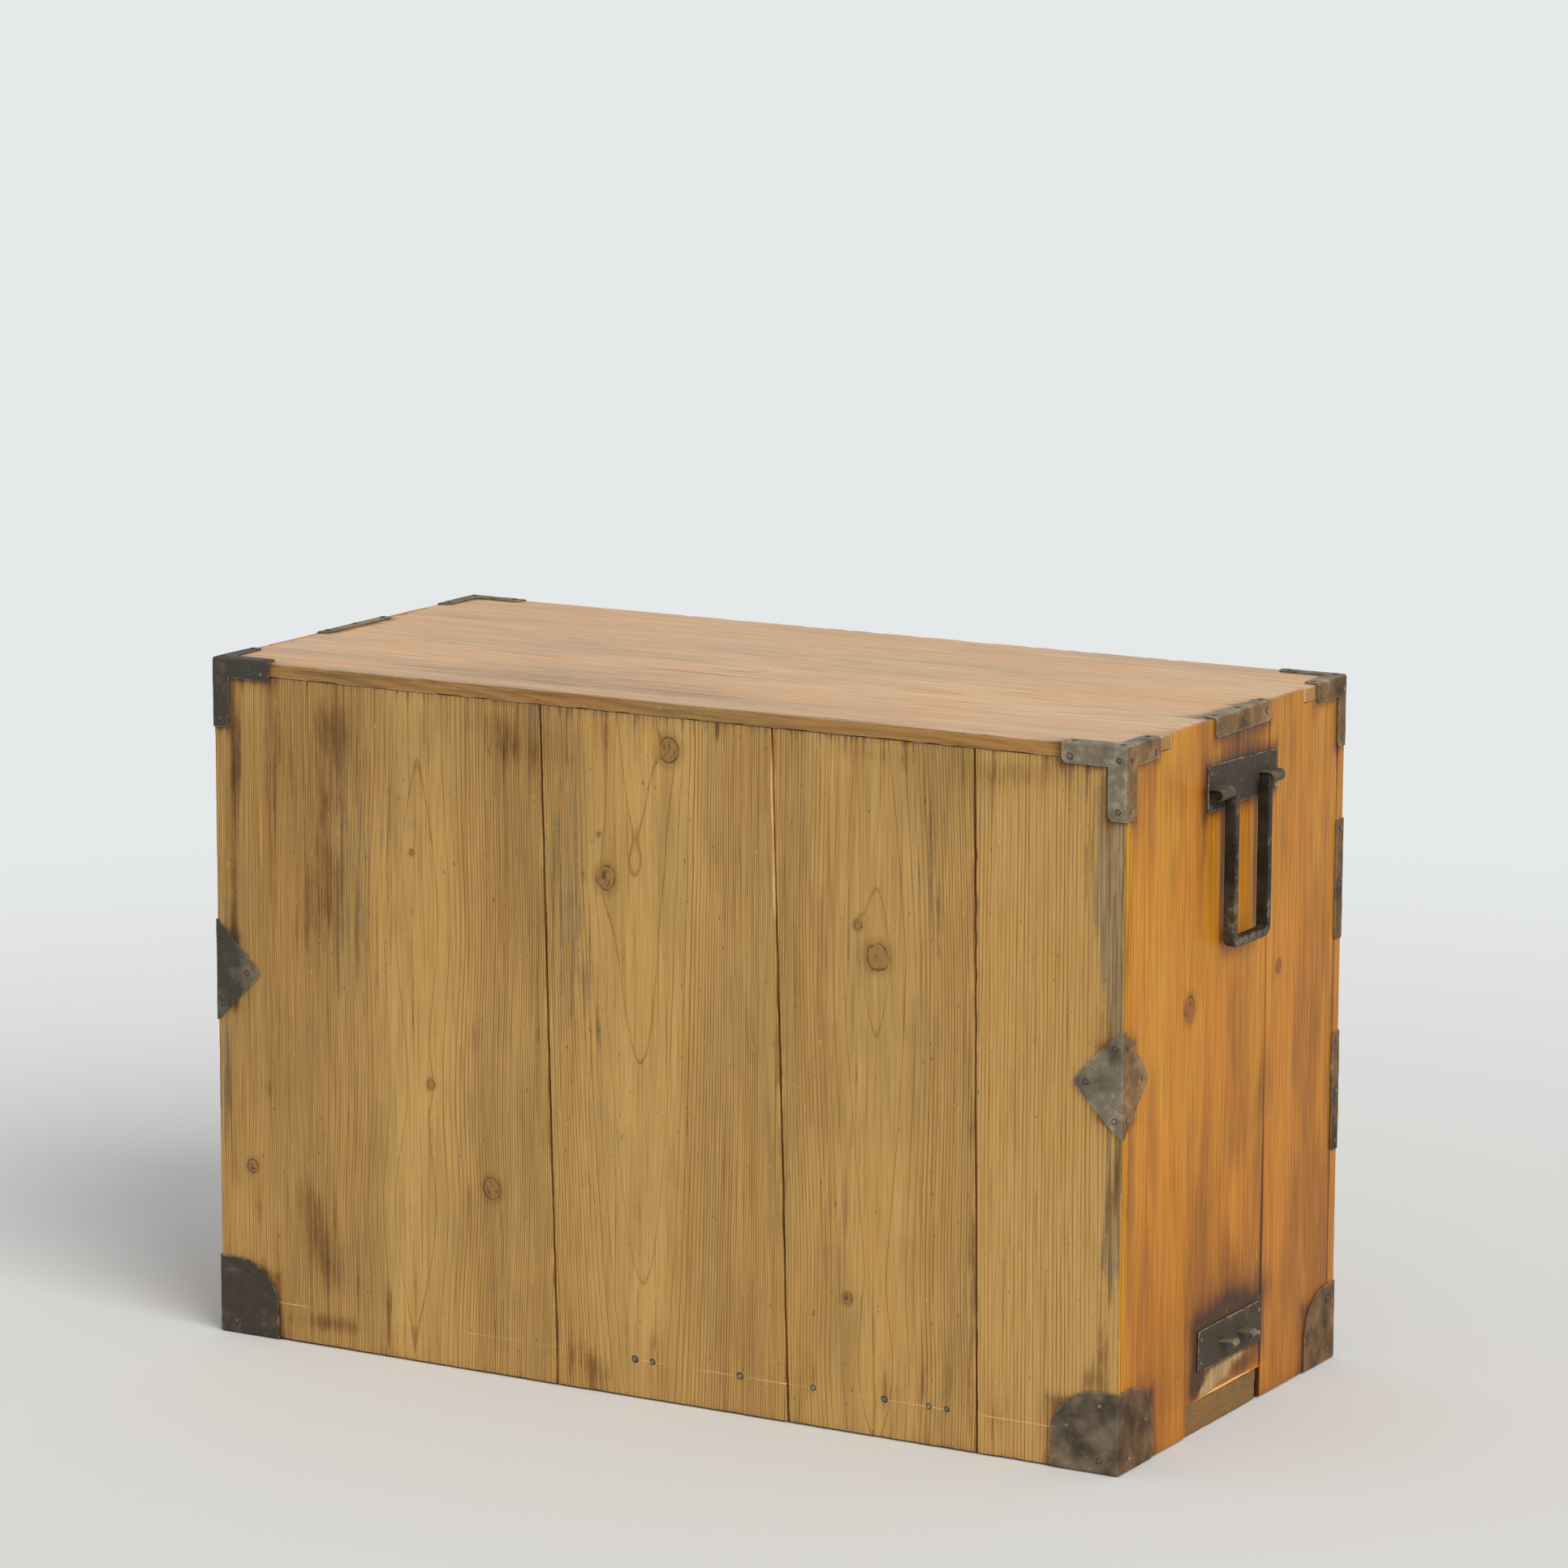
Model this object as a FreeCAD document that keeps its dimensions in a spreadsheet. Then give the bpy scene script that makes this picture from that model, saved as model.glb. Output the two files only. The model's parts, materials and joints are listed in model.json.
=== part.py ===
import FreeCAD, Part
import os
import Sketcher

# Stacking chest with three full-width drawers, carried by a pole through two side bails.
# Millimetres. +Z is up, the drawers open towards -Y and +X is to the right of a person who
# faces them. The origin is the middle of the case, on the surface that it stands on.

os.makedirs("parts", exist_ok=True)
doc = FreeCAD.newDocument("stacking_chest")

# ---------------------------------------------------------------- driving dimensions

SIZES = (
    ("case_width", 887, "wooden case, from side face to side face"),
    ("case_depth", 418, "wooden case, from front to back"),
    ("case_height", 603, "wooden case, without the irons"),
    ("iron", 1.5, "sheet iron of corners, straps and plates"),
    ("top_board", 12.5, "thickness of the top"),
    ("side_board", 18, "thickness of the sides and stiles"),
    ("back_board", 11, "thickness of the back boards"),
    ("base_board", 13, "thickness of the case bottom"),
    ("batten_height", 28, "cross batten under the case bottom"),
    ("batten_rear", 83, "rear edge of the batten and of its notch"),
    ("batten_front", 56, "front edge of the batten, ahead of the middle"),
    ("batten_recess", 2, "batten end behind the side face"),
    ("side_seam", 59, "joint of the two side boards, ahead of the middle"),
    ("seam_gap", 0.4, "open joint between the side boards"),
    ("stile_depth", 14, "facing strip on the front edge of a side"),
    ("finger_half", 42, "half of the middle finger of the top"),
    ("finger_end", 126, "inner edge of the outer fingers of the top"),
    ("lap", 4.5, "thickness of the side's tongues beside the top"),
    ("rail_height", 18, "rails and runners between the drawers"),
    ("rail_depth", 40, "rails from front to back"),
    ("runner_width", 20, "runner along a side"),
    ("bottom_opening", 191, "height of the bottom drawer's opening"),
    ("middle_opening", 169, "height of the middle drawer's opening"),
    ("back_gap", 1.6, "open joint between back boards"),
    ("back_seam_1_top", 109.5, "first joint of the back boards, upper end"),
    ("back_seam_1_foot", 94.5, "first joint, lower end"),
    ("back_seam_2_top", -116, "second joint, upper end"),
    ("back_seam_2_foot", -133.5, "second joint, lower end"),
    ("back_seam_3_top", -305.5, "third joint, upper end"),
    ("back_seam_3_foot", -313, "third joint, lower end"),
    ("drawer_front", 18, "thickness of a drawer front"),
    ("drawer_wall", 10, "thickness of drawer sides and backs"),
    ("drawer_bottom", 7, "thickness of a drawer bottom"),
    ("drawer_lap", 10, "drawer side let into the front"),
    ("drawer_drop", 8, "drawer side lower than its front"),
    ("side_gap", 1, "drawer to case side"),
    ("top_gap", 1.2, "drawer to the rail above"),
    ("run_gap", 0.3, "drawer to what it runs on"),
    ("rear_gap", 2, "drawer to the back boards"),
    ("corner_arm", 60, "arm of a top corner iron along an edge"),
    ("corner_drop", 62, "arm of a top corner iron down the corner"),
    ("corner_band", 18, "width of those arms on the back and sides"),
    ("corner_top_band", 15, "width of those arms on the top"),
    ("corner_front_band", 12, "width of the arm on the top's front edge"),
    ("corner_stile_band", 17, "width of irons on the face of a stile"),
    ("corner_clip", 5, "clipped end of an arm or strap"),
    ("shoe_width", 63, "bottom corner iron along the floor"),
    ("shoe_height", 70, "bottom corner iron up the corner"),
    ("shoe_round", 42, "large curve of a bottom corner iron"),
    ("shoe_front_band", 36, "bottom corner iron on the bottom rail"),
    ("diamond_height", 90, "edge iron on a back corner"),
    ("diamond_reach", 46, "its point, from the corner"),
    ("diamond_round", 5, "its rounded point"),
    ("diamond_level", 328, "its middle, above the floor"),
    ("diamond_nail_rise", 30, "its nails on the corner, above and below its middle"),
    ("diamond_nail_inset", 12, "its nail in the point, from the tip"),
    ("strap_length", 105, "straps on the top and front edges"),
    ("strap_side_leg", 18, "leg of a top strap on the side"),
    ("strap_top_leg", 13, "leg of a top strap on the top"),
    ("strap_front_leg", 17, "legs of a front strap"),
    ("strap_shift", 5.5, "top strap and handle plate, ahead of the middle"),
    ("plate_width", 132, "handle plate, along the side"),
    ("plate_height", 36, "handle plate and hook plate"),
    ("plate_drop", 76.5, "lower edge of the handle plate, below the top of the case"),
    ("pivot_rise", 15, "axis of a side bail, above the lower edge of its plate"),
    ("pivot_reach", 9.5, "axis of a side bail, from the side face"),
    ("pin_radius", 3.3, "turned end of a side bail"),
    ("pin_play", 0.1, "play of a pin in its eye, all round"),
    ("pin_end", 1, "pin end past its eye"),
    ("eye_strap", 1.7, "strap that is rolled into an eye"),
    ("eye_length", 24, "eye along the pin"),
    ("eye_root", 12, "strap end clenched in the side"),
    ("bail_width", 71, "side bail over its legs"),
    ("bail_drop", 132.5, "side bail below its axis"),
    ("bail_bar", 7.5, "thickness of the bail's bar"),
    ("bail_depth", 11, "depth of the bail's bar"),
    ("bail_head", 5, "leg above the axis"),
    ("bail_round", 10, "outer corner of a side bail"),
    ("bail_shoulder", 6, "bend of a leg towards its pin"),
    ("bail_gap", 0.7, "bail leg to its eye"),
    ("hook_plate_width", 120, "hook plate, along the side"),
    ("hook_plate_foot", 52, "lower edge of the hook plate"),
    ("hook_plate_shift", 3, "hook plate, behind the middle"),
    ("hook_level", 72.5, "top of a hook where it leaves the plate"),
    ("hook_reach", 14, "hook from its plate"),
    ("hook_curl", 3.5, "outer radius of the hook's curl"),
    ("hook_strap", 2, "thickness of a hook"),
    ("hook_width", 14, "width of a hook"),
    ("hook_spacing", 35, "hook to hook"),
    ("pull_offset", 240, "middle of a drawer pull, from the drawer's middle"),
    ("pull_width", 114, "drawer pull over its legs"),
    ("pull_drop", 38, "drawer pull below its axis"),
    ("pull_bar", 6, "section of a drawer pull"),
    ("pull_round", 14, "outer corner of a drawer pull"),
    ("pull_pin", 2.5, "radius of a pull's pins"),
    ("post_reach", 15, "axis of a pull, from the drawer front"),
    ("post_half", 5, "half the width of a post's eye"),
    ("post_shank", 5, "shank of a post behind its shoulder"),
    ("post_width", 6, "post, along the axis"),
    ("post_gap", 1, "post to the pull's leg"),
    ("post_root", 12, "shank of a post in the drawer front"),
    ("washer_half", 10, "half the width of the square washer under a post"),
    ("washer", 1.2, "thickness of washers and lock plates"),
    ("lock_width", 64, "lock plate"),
    ("lock_height", 52, "lock plate"),
    ("lock_drop", 8, "lock plate below the drawer's upper edge"),
    ("lock_clip", 9, "clipped corner of a lock plate"),
    ("key_width", 5, "keyhole"),
    ("key_height", 12, "keyhole"),
    ("lock_case_width", 46, "lock case behind the front"),
    ("lock_case_height", 38, "lock case behind the front"),
    ("lock_case_depth", 12, "lock case behind the front"),
    ("nail_head", 2.4, "half the width of a nail's head"),
    ("nail_rise", 1.1, "height of a nail's head"),
    ("nail_shank", 2.2, "side of a nail's square shank under the head"),
    ("nail_length", 14, "nail in the wood"),
    ("nail_edge", 8, "nail from the edge of its iron"),
    ("nail_inset", 12, "nail of a corner iron from the upper or lower edge"),
    ("shoe_nail_near", 18, "nails of a bottom corner iron, from the corner"),
    ("shoe_nail_far", 48, "its outer nail, from the corner"),
    ("shoe_nail_level", 38, "its outer nail, above the floor"),
    ("back_nail_level", 34.5, "row of nails through the back into the bottom"),
    ("cut_margin", 1, "cutting shapes run past what they cut"),
)

sheet = doc.addObject("Spreadsheet::Sheet", "Sizes")
for row, (alias, number, meaning) in enumerate(SIZES, start=1):
    sheet.set(f"A{row}", meaning)
    sheet.set(f"B{row}", str(number))
    sheet.setAlias(f"B{row}", alias)
doc.recompute()


class Size:
    """A length in millimetres that remembers the sheet formula it comes from."""

    def __init__(self, value, formula=None):
        self.value = float(value)
        self.formula = formula or repr(self.value)

    def _join(self, other, sign, value):
        return Size(value, f"({self.formula} {sign} {other.formula})")

    def __add__(self, other):
        other = as_size(other)
        return self._join(other, "+", self.value + other.value)

    def __sub__(self, other):
        other = as_size(other)
        return self._join(other, "-", self.value - other.value)

    def __mul__(self, other):
        other = as_size(other)
        return self._join(other, "*", self.value * other.value)

    def __truediv__(self, other):
        other = as_size(other)
        return self._join(other, "/", self.value / other.value)

    def __radd__(self, other):
        return as_size(other) + self

    def __rsub__(self, other):
        return as_size(other) - self

    def __rmul__(self, other):
        return as_size(other) * self

    def __neg__(self):
        return Size(0) - self


def as_size(number):
    """A plain number as a Size; a Size as it is."""
    return number if isinstance(number, Size) else Size(number)


class Sheet:
    """The driving dimensions, each as a Size under its own name."""


s = Sheet()
for row, (alias, number, meaning) in enumerate(SIZES, start=1):
    setattr(s, alias, Size(sheet.get(alias), f"Sizes.{alias}"))

# ---------------------------------------------------------------- planes of the case

half_width = s.case_width / 2
half_depth = s.case_depth / 2
foot = s.iron                          # underside of the wood, on the bottom corner irons
crown = foot + s.case_height           # upper face of the top board
under_top = crown - s.top_board        # upper end of the sides and of the back boards
side_in = half_width - s.side_board    # inner face of a side
back_in = half_depth - s.back_board    # inner face of the back boards
stile_in = s.stile_depth - half_depth  # rear face of the stiles
base_top = s.batten_height + s.base_board
lower_rail_foot = base_top + s.bottom_opening
upper_rail_foot = lower_rail_foot + s.rail_height + s.middle_opening
outer_x = half_width + s.iron
outer_y = half_depth + s.iron
outer_z = crown + s.iron
plate_foot = crown - s.plate_drop      # lower edge of a handle plate
pivot_level = plate_foot + s.pivot_rise

# ---------------------------------------------------------------- how a piece is made

kept = {}                              # node name -> finished object


def bind(piece, **properties):
    """Ties each property of a piece to its sheet formula."""
    for name, size in properties.items():
        piece.setExpression(name, as_size(size).formula)


def place(piece, corner, turn=None):
    """Puts a piece's own origin at corner, turned by a rotation if one is given."""
    if turn is not None:
        piece.Placement = FreeCAD.Placement(FreeCAD.Vector(0, 0, 0), turn)
    for axis, size in zip("xyz", corner):
        piece.setExpression(f"Placement.Base.{axis}", as_size(size).formula)


def keep(node, piece):
    """Makes a finished object the sub-part called node."""
    piece.Label = node
    kept[node] = piece
    return piece


def block(name, x, y, z):
    """A straight board or block; x, y and z are its low and high faces."""
    piece = doc.addObject("Part::Box", name)
    bind(piece, Length=x[1] - x[0], Width=y[1] - y[0], Height=z[1] - z[0])
    place(piece, (x[0], y[0], z[0]))
    return piece


def join(name, kind, pieces):
    """Several pieces as one: kind is Part::MultiFuse or Part::Compound."""
    whole = doc.addObject(kind, name)
    if kind == "Part::Compound":
        whole.Links = pieces
    else:
        whole.Shapes = pieces
    return whole


def cut(name, piece, tools):
    """A piece with the tools taken out of it."""
    result = doc.addObject("Part::Cut", name)
    result.Base = piece
    result.Tool = tools[0] if len(tools) == 1 else join(name + "_tools", "Part::Compound", tools)
    return result


def mirror(name, piece, normal):
    """The other hand of a piece, across the middle plane of the case."""
    other = doc.addObject("Part::Mirroring", name)
    other.Source = piece
    other.Normal = normal
    return other


ACROSS = FreeCAD.Vector(1, 0, 0)       # left hand to right hand
ALONG = FreeCAD.Vector(0, 1, 0)        # back to front


def body_of(name):
    """An empty PartDesign body."""
    return doc.addObject("PartDesign::Body", name)


def sketch_on(body, plane, name):
    """A sketch on one of the body's own origin planes."""
    sketch = body.newObject("Sketcher::SketchObject", name)
    support = [f for f in body.Origin.OriginFeatures if f.Role == plane + "_Plane"][0]
    sketch.AttachmentSupport = [(support, "")]
    sketch.MapMode = "FlatFace"
    return sketch


def pin_point(sketch, item, end, x, y):
    """Ties one point of a sketch to the sheet, along both axes of the sketch."""
    for kind, size in (("DistanceX", as_size(x)), ("DistanceY", as_size(y))):
        number = sketch.addConstraint(Sketcher.Constraint(kind, -1, 1, item, end, size.value))
        sketch.setExpression(f"Constraints[{number}]", size.formula)


def outline(body, plane, corners, name):
    """A closed sketch of straight lines through corners."""
    sketch = sketch_on(body, plane, name)
    corners = [(as_size(x), as_size(y)) for x, y in corners]
    ends = [FreeCAD.Vector(x.value, y.value, 0) for x, y in corners]
    count = len(ends)
    for i in range(count):
        sketch.addGeometry(Part.LineSegment(ends[i], ends[(i + 1) % count]), False)
    for i in range(count):
        sketch.addConstraint(Sketcher.Constraint("Coincident", i, 2, (i + 1) % count, 1))
    for i, (x, y) in enumerate(corners):
        pin_point(sketch, i, 1, x, y)
    return sketch


def rings(body, plane, circles, name):
    """A sketch of full circles, each a centre (x, y) and a radius."""
    sketch = sketch_on(body, plane, name)
    for i, (x, y, radius) in enumerate(circles):
        x, y, radius = as_size(x), as_size(y), as_size(radius)
        centre = FreeCAD.Vector(x.value, y.value, 0)
        circle = Part.Circle(centre, FreeCAD.Vector(0, 0, 1), radius.value)
        sketch.addGeometry(circle, False)
        pin_point(sketch, i, 3, x, y)
        number = sketch.addConstraint(Sketcher.Constraint("Radius", i, radius.value))
        sketch.setExpression(f"Constraints[{number}]", radius.formula)
    return sketch


def pad(body, sketch, length, back=False, both=False):
    """The sketch thickened along its plane's normal, or against it, or both ways."""
    feature = body.newObject("PartDesign::Pad", sketch.Name + "_pad")
    feature.Profile = sketch
    bind(feature, Length=length)
    feature.Reversed = back
    feature.Midplane = both
    body.Tip = feature
    return feature


def dress(body, kind, points):
    """A PartDesign dress-up of the edges that run through the points, in the body's frame."""
    doc.recompute()
    base = body.Tip
    names = []
    for point in points:
        spot = Part.Vertex(FreeCAD.Vector(*[as_size(value).value for value in point]))
        gaps = [edge.distToShape(spot)[0] for edge in base.Shape.Edges]
        names.append(f"Edge{gaps.index(min(gaps)) + 1}")
    feature = body.newObject(f"PartDesign::{kind}", f"{body.Name}_{kind.lower()}")
    feature.Base = (base, sorted(set(names)))
    body.Tip = feature
    return feature


def rounded(body, points, radius):
    """Rounds the edges through the points."""
    bind(dress(body, "Fillet", points), Radius=radius)


def clipped(body, points, size):
    """Clips the edges through the points at 45 degrees."""
    bind(dress(body, "Chamfer", points), Size=size)


# ---------------------------------------------------------------- wooden case

def top_board():
    """The top, notched at both ends for the tongues of the sides."""
    blank = block("top_blank", (-half_width, half_width), (-half_depth, half_depth),
                  (under_top, crown))
    notches = []
    for hand, x in (("left", (-half_width, s.lap - half_width)),
                    ("right", (half_width - s.lap, half_width))):
        for part, y in (("rear", (s.finger_half, s.finger_end)),
                        ("front", (-s.finger_end, -s.finger_half))):
            notches.append(block(f"top_notch_{hand}_{part}", x, y, (under_top, crown)))
    keep("top_board", cut("top", blank, notches))


def side_boards():
    """Two upright boards a side. Their tongues rise beside the notched ends of the top."""
    outside = (-half_width, s.side_board - half_width)
    tongue = (-half_width, s.lap - half_width)
    seam = -s.side_seam
    rise = (under_top, crown)

    rear = join("side_rear", "Part::MultiFuse", [
        block("side_rear_blank", outside, (seam + s.seam_gap / 2, back_in), (foot, under_top)),
        block("side_rear_tongue", tongue, (s.finger_half, s.finger_end), rise),
        block("side_rear_tongue_end", tongue, (seam + s.seam_gap / 2, -s.finger_half), rise),
    ])
    notch = block("side_notch", outside, (seam, s.batten_rear), (foot, s.batten_height))
    rear = keep("left_side_rear_board", cut("side_rear_notched", rear, [notch]))

    front = join("side_front", "Part::MultiFuse", [
        block("side_front_blank", outside, (stile_in, seam - s.seam_gap / 2), (foot, under_top)),
        block("side_front_tongue", tongue, (-s.finger_end, seam - s.seam_gap / 2), rise),
    ])
    keep("left_side_front_board", front)
    keep("right_side_rear_board", mirror("side_rear_right", rear, ACROSS))
    keep("right_side_front_board", mirror("side_front_right", front, ACROSS))


def back_boards():
    """Four upright boards, nailed over the rear edges, with slightly slanting joints."""
    half_gap = s.back_gap / 2
    seams = [(half_width + half_gap, half_width + half_gap)]
    for i in (1, 2, 3):
        seams.append((getattr(s, f"back_seam_{i}_top"), getattr(s, f"back_seam_{i}_foot")))
    seams.append((-half_width - half_gap, -half_width - half_gap))
    for i in range(4):
        (right_top, right_foot), (left_top, left_foot) = seams[i], seams[i + 1]
        body = body_of(f"back_{i + 1}")
        corners = [(left_foot + half_gap, foot), (right_foot - half_gap, foot),
                   (right_top - half_gap, under_top), (left_top + half_gap, under_top)]
        pad(body, outline(body, "XZ", corners, f"back_outline_{i + 1}"), s.back_board)
        place(body, (0, half_depth, 0))
        keep(f"back_board_{i + 1}", body)


def frame_and_floor():
    """Case bottom on its batten, stiles, rails and the runners behind the rails."""
    between = (-side_in, side_in)
    front = -half_depth
    keep("base_board", block("base", between, (stile_in, back_in), (s.batten_height, base_top)))
    batten_end = half_width - s.batten_recess
    keep("base_batten", block("batten", (-batten_end, batten_end),
                              (-s.batten_front, s.batten_rear), (Size(0), s.batten_height)))
    for hand, x in (("left", (-half_width, -side_in)), ("right", (side_in, half_width))):
        keep(f"{hand}_front_stile", block(f"stile_{hand}", x, (front, stile_in),
                                          (foot, under_top)))
    keep("bottom_rail", block("rail_bottom", between, (front, stile_in), (foot, base_top)))
    runners = []
    rail_back = front + s.rail_depth
    for level, low in (("lower", lower_rail_foot), ("upper", upper_rail_foot)):
        height = (low, low + s.rail_height)
        keep(f"{level}_rail", block(f"rail_{level}", between, (front, rail_back), height))
        for hand, x in (("left", (-side_in, s.runner_width - side_in)),
                        ("right", (side_in - s.runner_width, side_in))):
            runners.append(block(f"runner_{level}_{hand}", x, (rail_back, back_in), height))
    keep("drawer_runners", join("runners", "Part::Compound", runners))


# ---------------------------------------------------------------- sheet irons

def ell(arm, drop, arm_band, drop_band):
    """Outline of an L: an arm along the first axis and one along the second."""
    return [(0, 0), (arm, 0), (arm, arm_band), (drop_band, arm_band), (drop_band, drop), (0, drop)]


def bent_iron(name, plates):
    """One iron folded round a corner or an edge. Its own frame has the corner of the case at
    the origin and all of the iron on the positive side; each plate is a plane and an outline."""
    body = body_of(name)
    for plane, corners in plates:
        sketch = outline(body, plane, corners, f"{name}_{plane}")
        pad(body, sketch, s.iron, back=plane == "XZ")
    return body


# Rotations that take an iron's own frame to a left-hand corner of the case.
TOP_REAR = FreeCAD.Rotation(FreeCAD.Vector(1, 0, 0), 180)    # x inwards, y forwards, z down
TOP_FRONT = FreeCAD.Rotation(FreeCAD.Vector(1, 1, 0), 180)   # x rearwards, y inwards, z down
FOOT_REAR = FreeCAD.Rotation(FreeCAD.Vector(0, 0, 1), -90)   # x forwards, y inwards, z up
FOOT_FRONT = FreeCAD.Rotation()                              # x inwards, y rearwards, z up


def top_corner_irons():
    """Three L-shaped faces meet at each upper corner and tie the top to the side and back."""
    arm, drop, band = s.corner_arm, s.corner_drop, s.corner_band
    flat = ell(arm, arm, s.corner_top_band, s.corner_top_band)
    thin = s.iron / 2

    rear = bent_iron("corner_rear", [("XY", flat), ("XZ", ell(arm, drop, band, band)),
                                     ("YZ", ell(arm, drop, band, band))])
    ends = [(arm, thin, band), (band, thin, drop), (thin, arm, band), (thin, band, drop),
            (arm, s.corner_top_band, thin), (s.corner_top_band, arm, thin)]
    clipped(rear, ends, s.corner_clip)
    place(rear, (-outer_x, outer_y, outer_z), TOP_REAR)

    edge, stile = s.corner_front_band, s.corner_stile_band
    front = bent_iron("corner_front", [("XY", flat), ("XZ", ell(arm, drop, band, stile)),
                                       ("YZ", ell(arm, drop, edge, stile))])
    ends = [(arm, thin, band), (stile, thin, drop), (thin, arm, edge), (thin, stile, drop),
            (arm, s.corner_top_band, thin), (s.corner_top_band, arm, thin)]
    clipped(front, ends, s.corner_clip)
    place(front, (-outer_x, -outer_y, outer_z), TOP_FRONT)

    for end, iron in (("back", rear), ("front", front)):
        keep(f"top_corner_iron_{end}_left", iron)
        keep(f"top_corner_iron_{end}_right", mirror(f"corner_{end}_right", iron, ACROSS))


def bottom_corner_irons():
    """Shoes that the case stands on: a rounded face on each side and a sole below."""
    width, height = s.shoe_width, s.shoe_height
    thin = s.iron / 2
    cheek = [(0, 0), (width, 0), (width, height), (0, height)]
    sole = [(0, 0), (width, 0), (width, width), (0, width)]

    rear = bent_iron("shoe_rear", [("XY", sole), ("XZ", cheek), ("YZ", cheek)])
    rounded(rear, [(width, thin, height), (thin, width, height)], s.shoe_round)
    clipped(rear, [(width, width, thin)], s.shoe_round)
    place(rear, (-outer_x, outer_y, 0), FOOT_REAR)

    stile = s.corner_stile_band
    face = ell(width, height, s.shoe_front_band, stile)
    front = bent_iron("shoe_front", [("XY", sole), ("XZ", face), ("YZ", cheek)])
    rounded(front, [(thin, width, height)], s.shoe_round)
    clipped(front, [(width, width, thin)], s.shoe_round)
    clipped(front, [(width, thin, s.shoe_front_band), (stile, thin, height)], s.corner_clip)
    place(front, (-outer_x, -outer_y, 0), FOOT_FRONT)

    for end, iron in (("back", rear), ("front", front)):
        keep(f"bottom_corner_iron_{end}_left", iron)
        keep(f"bottom_corner_iron_{end}_right", mirror(f"shoe_{end}_right", iron, ACROSS))


def edge_irons():
    """Diamonds on the back corners and straps along the top and front edges."""
    reach, height, thin = s.diamond_reach, s.diamond_height, s.iron / 2
    point = [(0, 0), (reach, height / 2), (0, height)]
    diamond = bent_iron("diamond", [("XZ", point), ("YZ", point)])
    rounded(diamond, [(reach, thin, height / 2), (thin, reach, height / 2)], s.diamond_round)
    place(diamond, (-outer_x, outer_y, s.diamond_level - height / 2), FOOT_REAR)
    keep("diamond_irons", join("diamonds", "Part::Compound",
                               [diamond, mirror("diamond_right", diamond, ACROSS)]))

    length, leg, lid = s.strap_length, s.strap_side_leg, s.strap_top_leg
    long_leg = [(0, 0), (length, 0), (length, leg), (0, leg)]
    long_lid = [(0, 0), (length, 0), (length, lid), (0, lid)]
    strap = bent_iron("top_strap", [("XZ", long_leg), ("XY", long_lid)])
    clipped(strap, [(0, thin, leg), (length, thin, leg), (0, lid, thin), (length, lid, thin)],
            s.corner_clip)
    place(strap, (-outer_x, -s.strap_shift - length / 2, outer_z), TOP_FRONT)
    keep("top_edge_straps", join("top_straps", "Part::Compound",
                                 [strap, mirror("top_strap_right", strap, ACROSS)]))

    straps = []
    leg = s.strap_front_leg
    upright = [(0, 0), (leg, 0), (leg, length), (0, length)]
    for level, low in (("lower", lower_rail_foot), ("upper", upper_rail_foot)):
        middle = low + s.rail_height / 2
        strap = bent_iron(f"front_strap_{level}", [("XZ", upright), ("YZ", upright)])
        clipped(strap, [(leg, thin, 0), (leg, thin, length), (thin, leg, 0), (thin, leg, length)],
                s.corner_clip)
        place(strap, (-outer_x, -outer_y, middle - length / 2), FOOT_FRONT)
        straps += [strap, mirror(f"front_strap_{level}_right", strap, ACROSS)]
    keep("front_edge_straps", join("front_straps", "Part::Compound", straps))


# ---------------------------------------------------------------- side bails and hooks

def handle_plates():
    """A plain plate behind each side bail."""
    low = plate_foot
    y = (-s.strap_shift - s.plate_width / 2, s.plate_width / 2 - s.strap_shift)
    left = keep("left_handle_plate", block("handle_plate", (-outer_x, -half_width), y,
                                           (low, low + s.plate_height)))
    keep("right_handle_plate", mirror("handle_plate_right", left, ACROSS))


def handle_eyes():
    """Straps rolled round the bail's pins, their ends driven through the plate into the side."""
    hole = s.pin_radius + s.pin_play
    shell = hole + s.eye_strap
    body = body_of("handle_eye")
    roll = rings(body, "XZ", [(0, 0, shell), (0, 0, hole)], "handle_eye_roll")
    pad(body, roll, s.eye_length, back=True)
    tail = outline(body, "XZ", [(0, hole), (s.pivot_reach + s.eye_root, hole),
                                (s.pivot_reach + s.eye_root, shell), (0, shell)],
                   "handle_eye_tail")
    pad(body, tail, s.eye_length, back=True)
    place(body, (-half_width - s.pivot_reach, s.bail_width / 2 + s.bail_gap, pivot_level))
    front = mirror("handle_eye_front", body, ALONG)
    eyes = [body, front]
    eyes += [mirror("handle_eye_right", body, ACROSS), mirror("handle_eye_4", front, ACROSS)]
    keep("handle_eyes", join("eyes", "Part::Compound", eyes))


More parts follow.
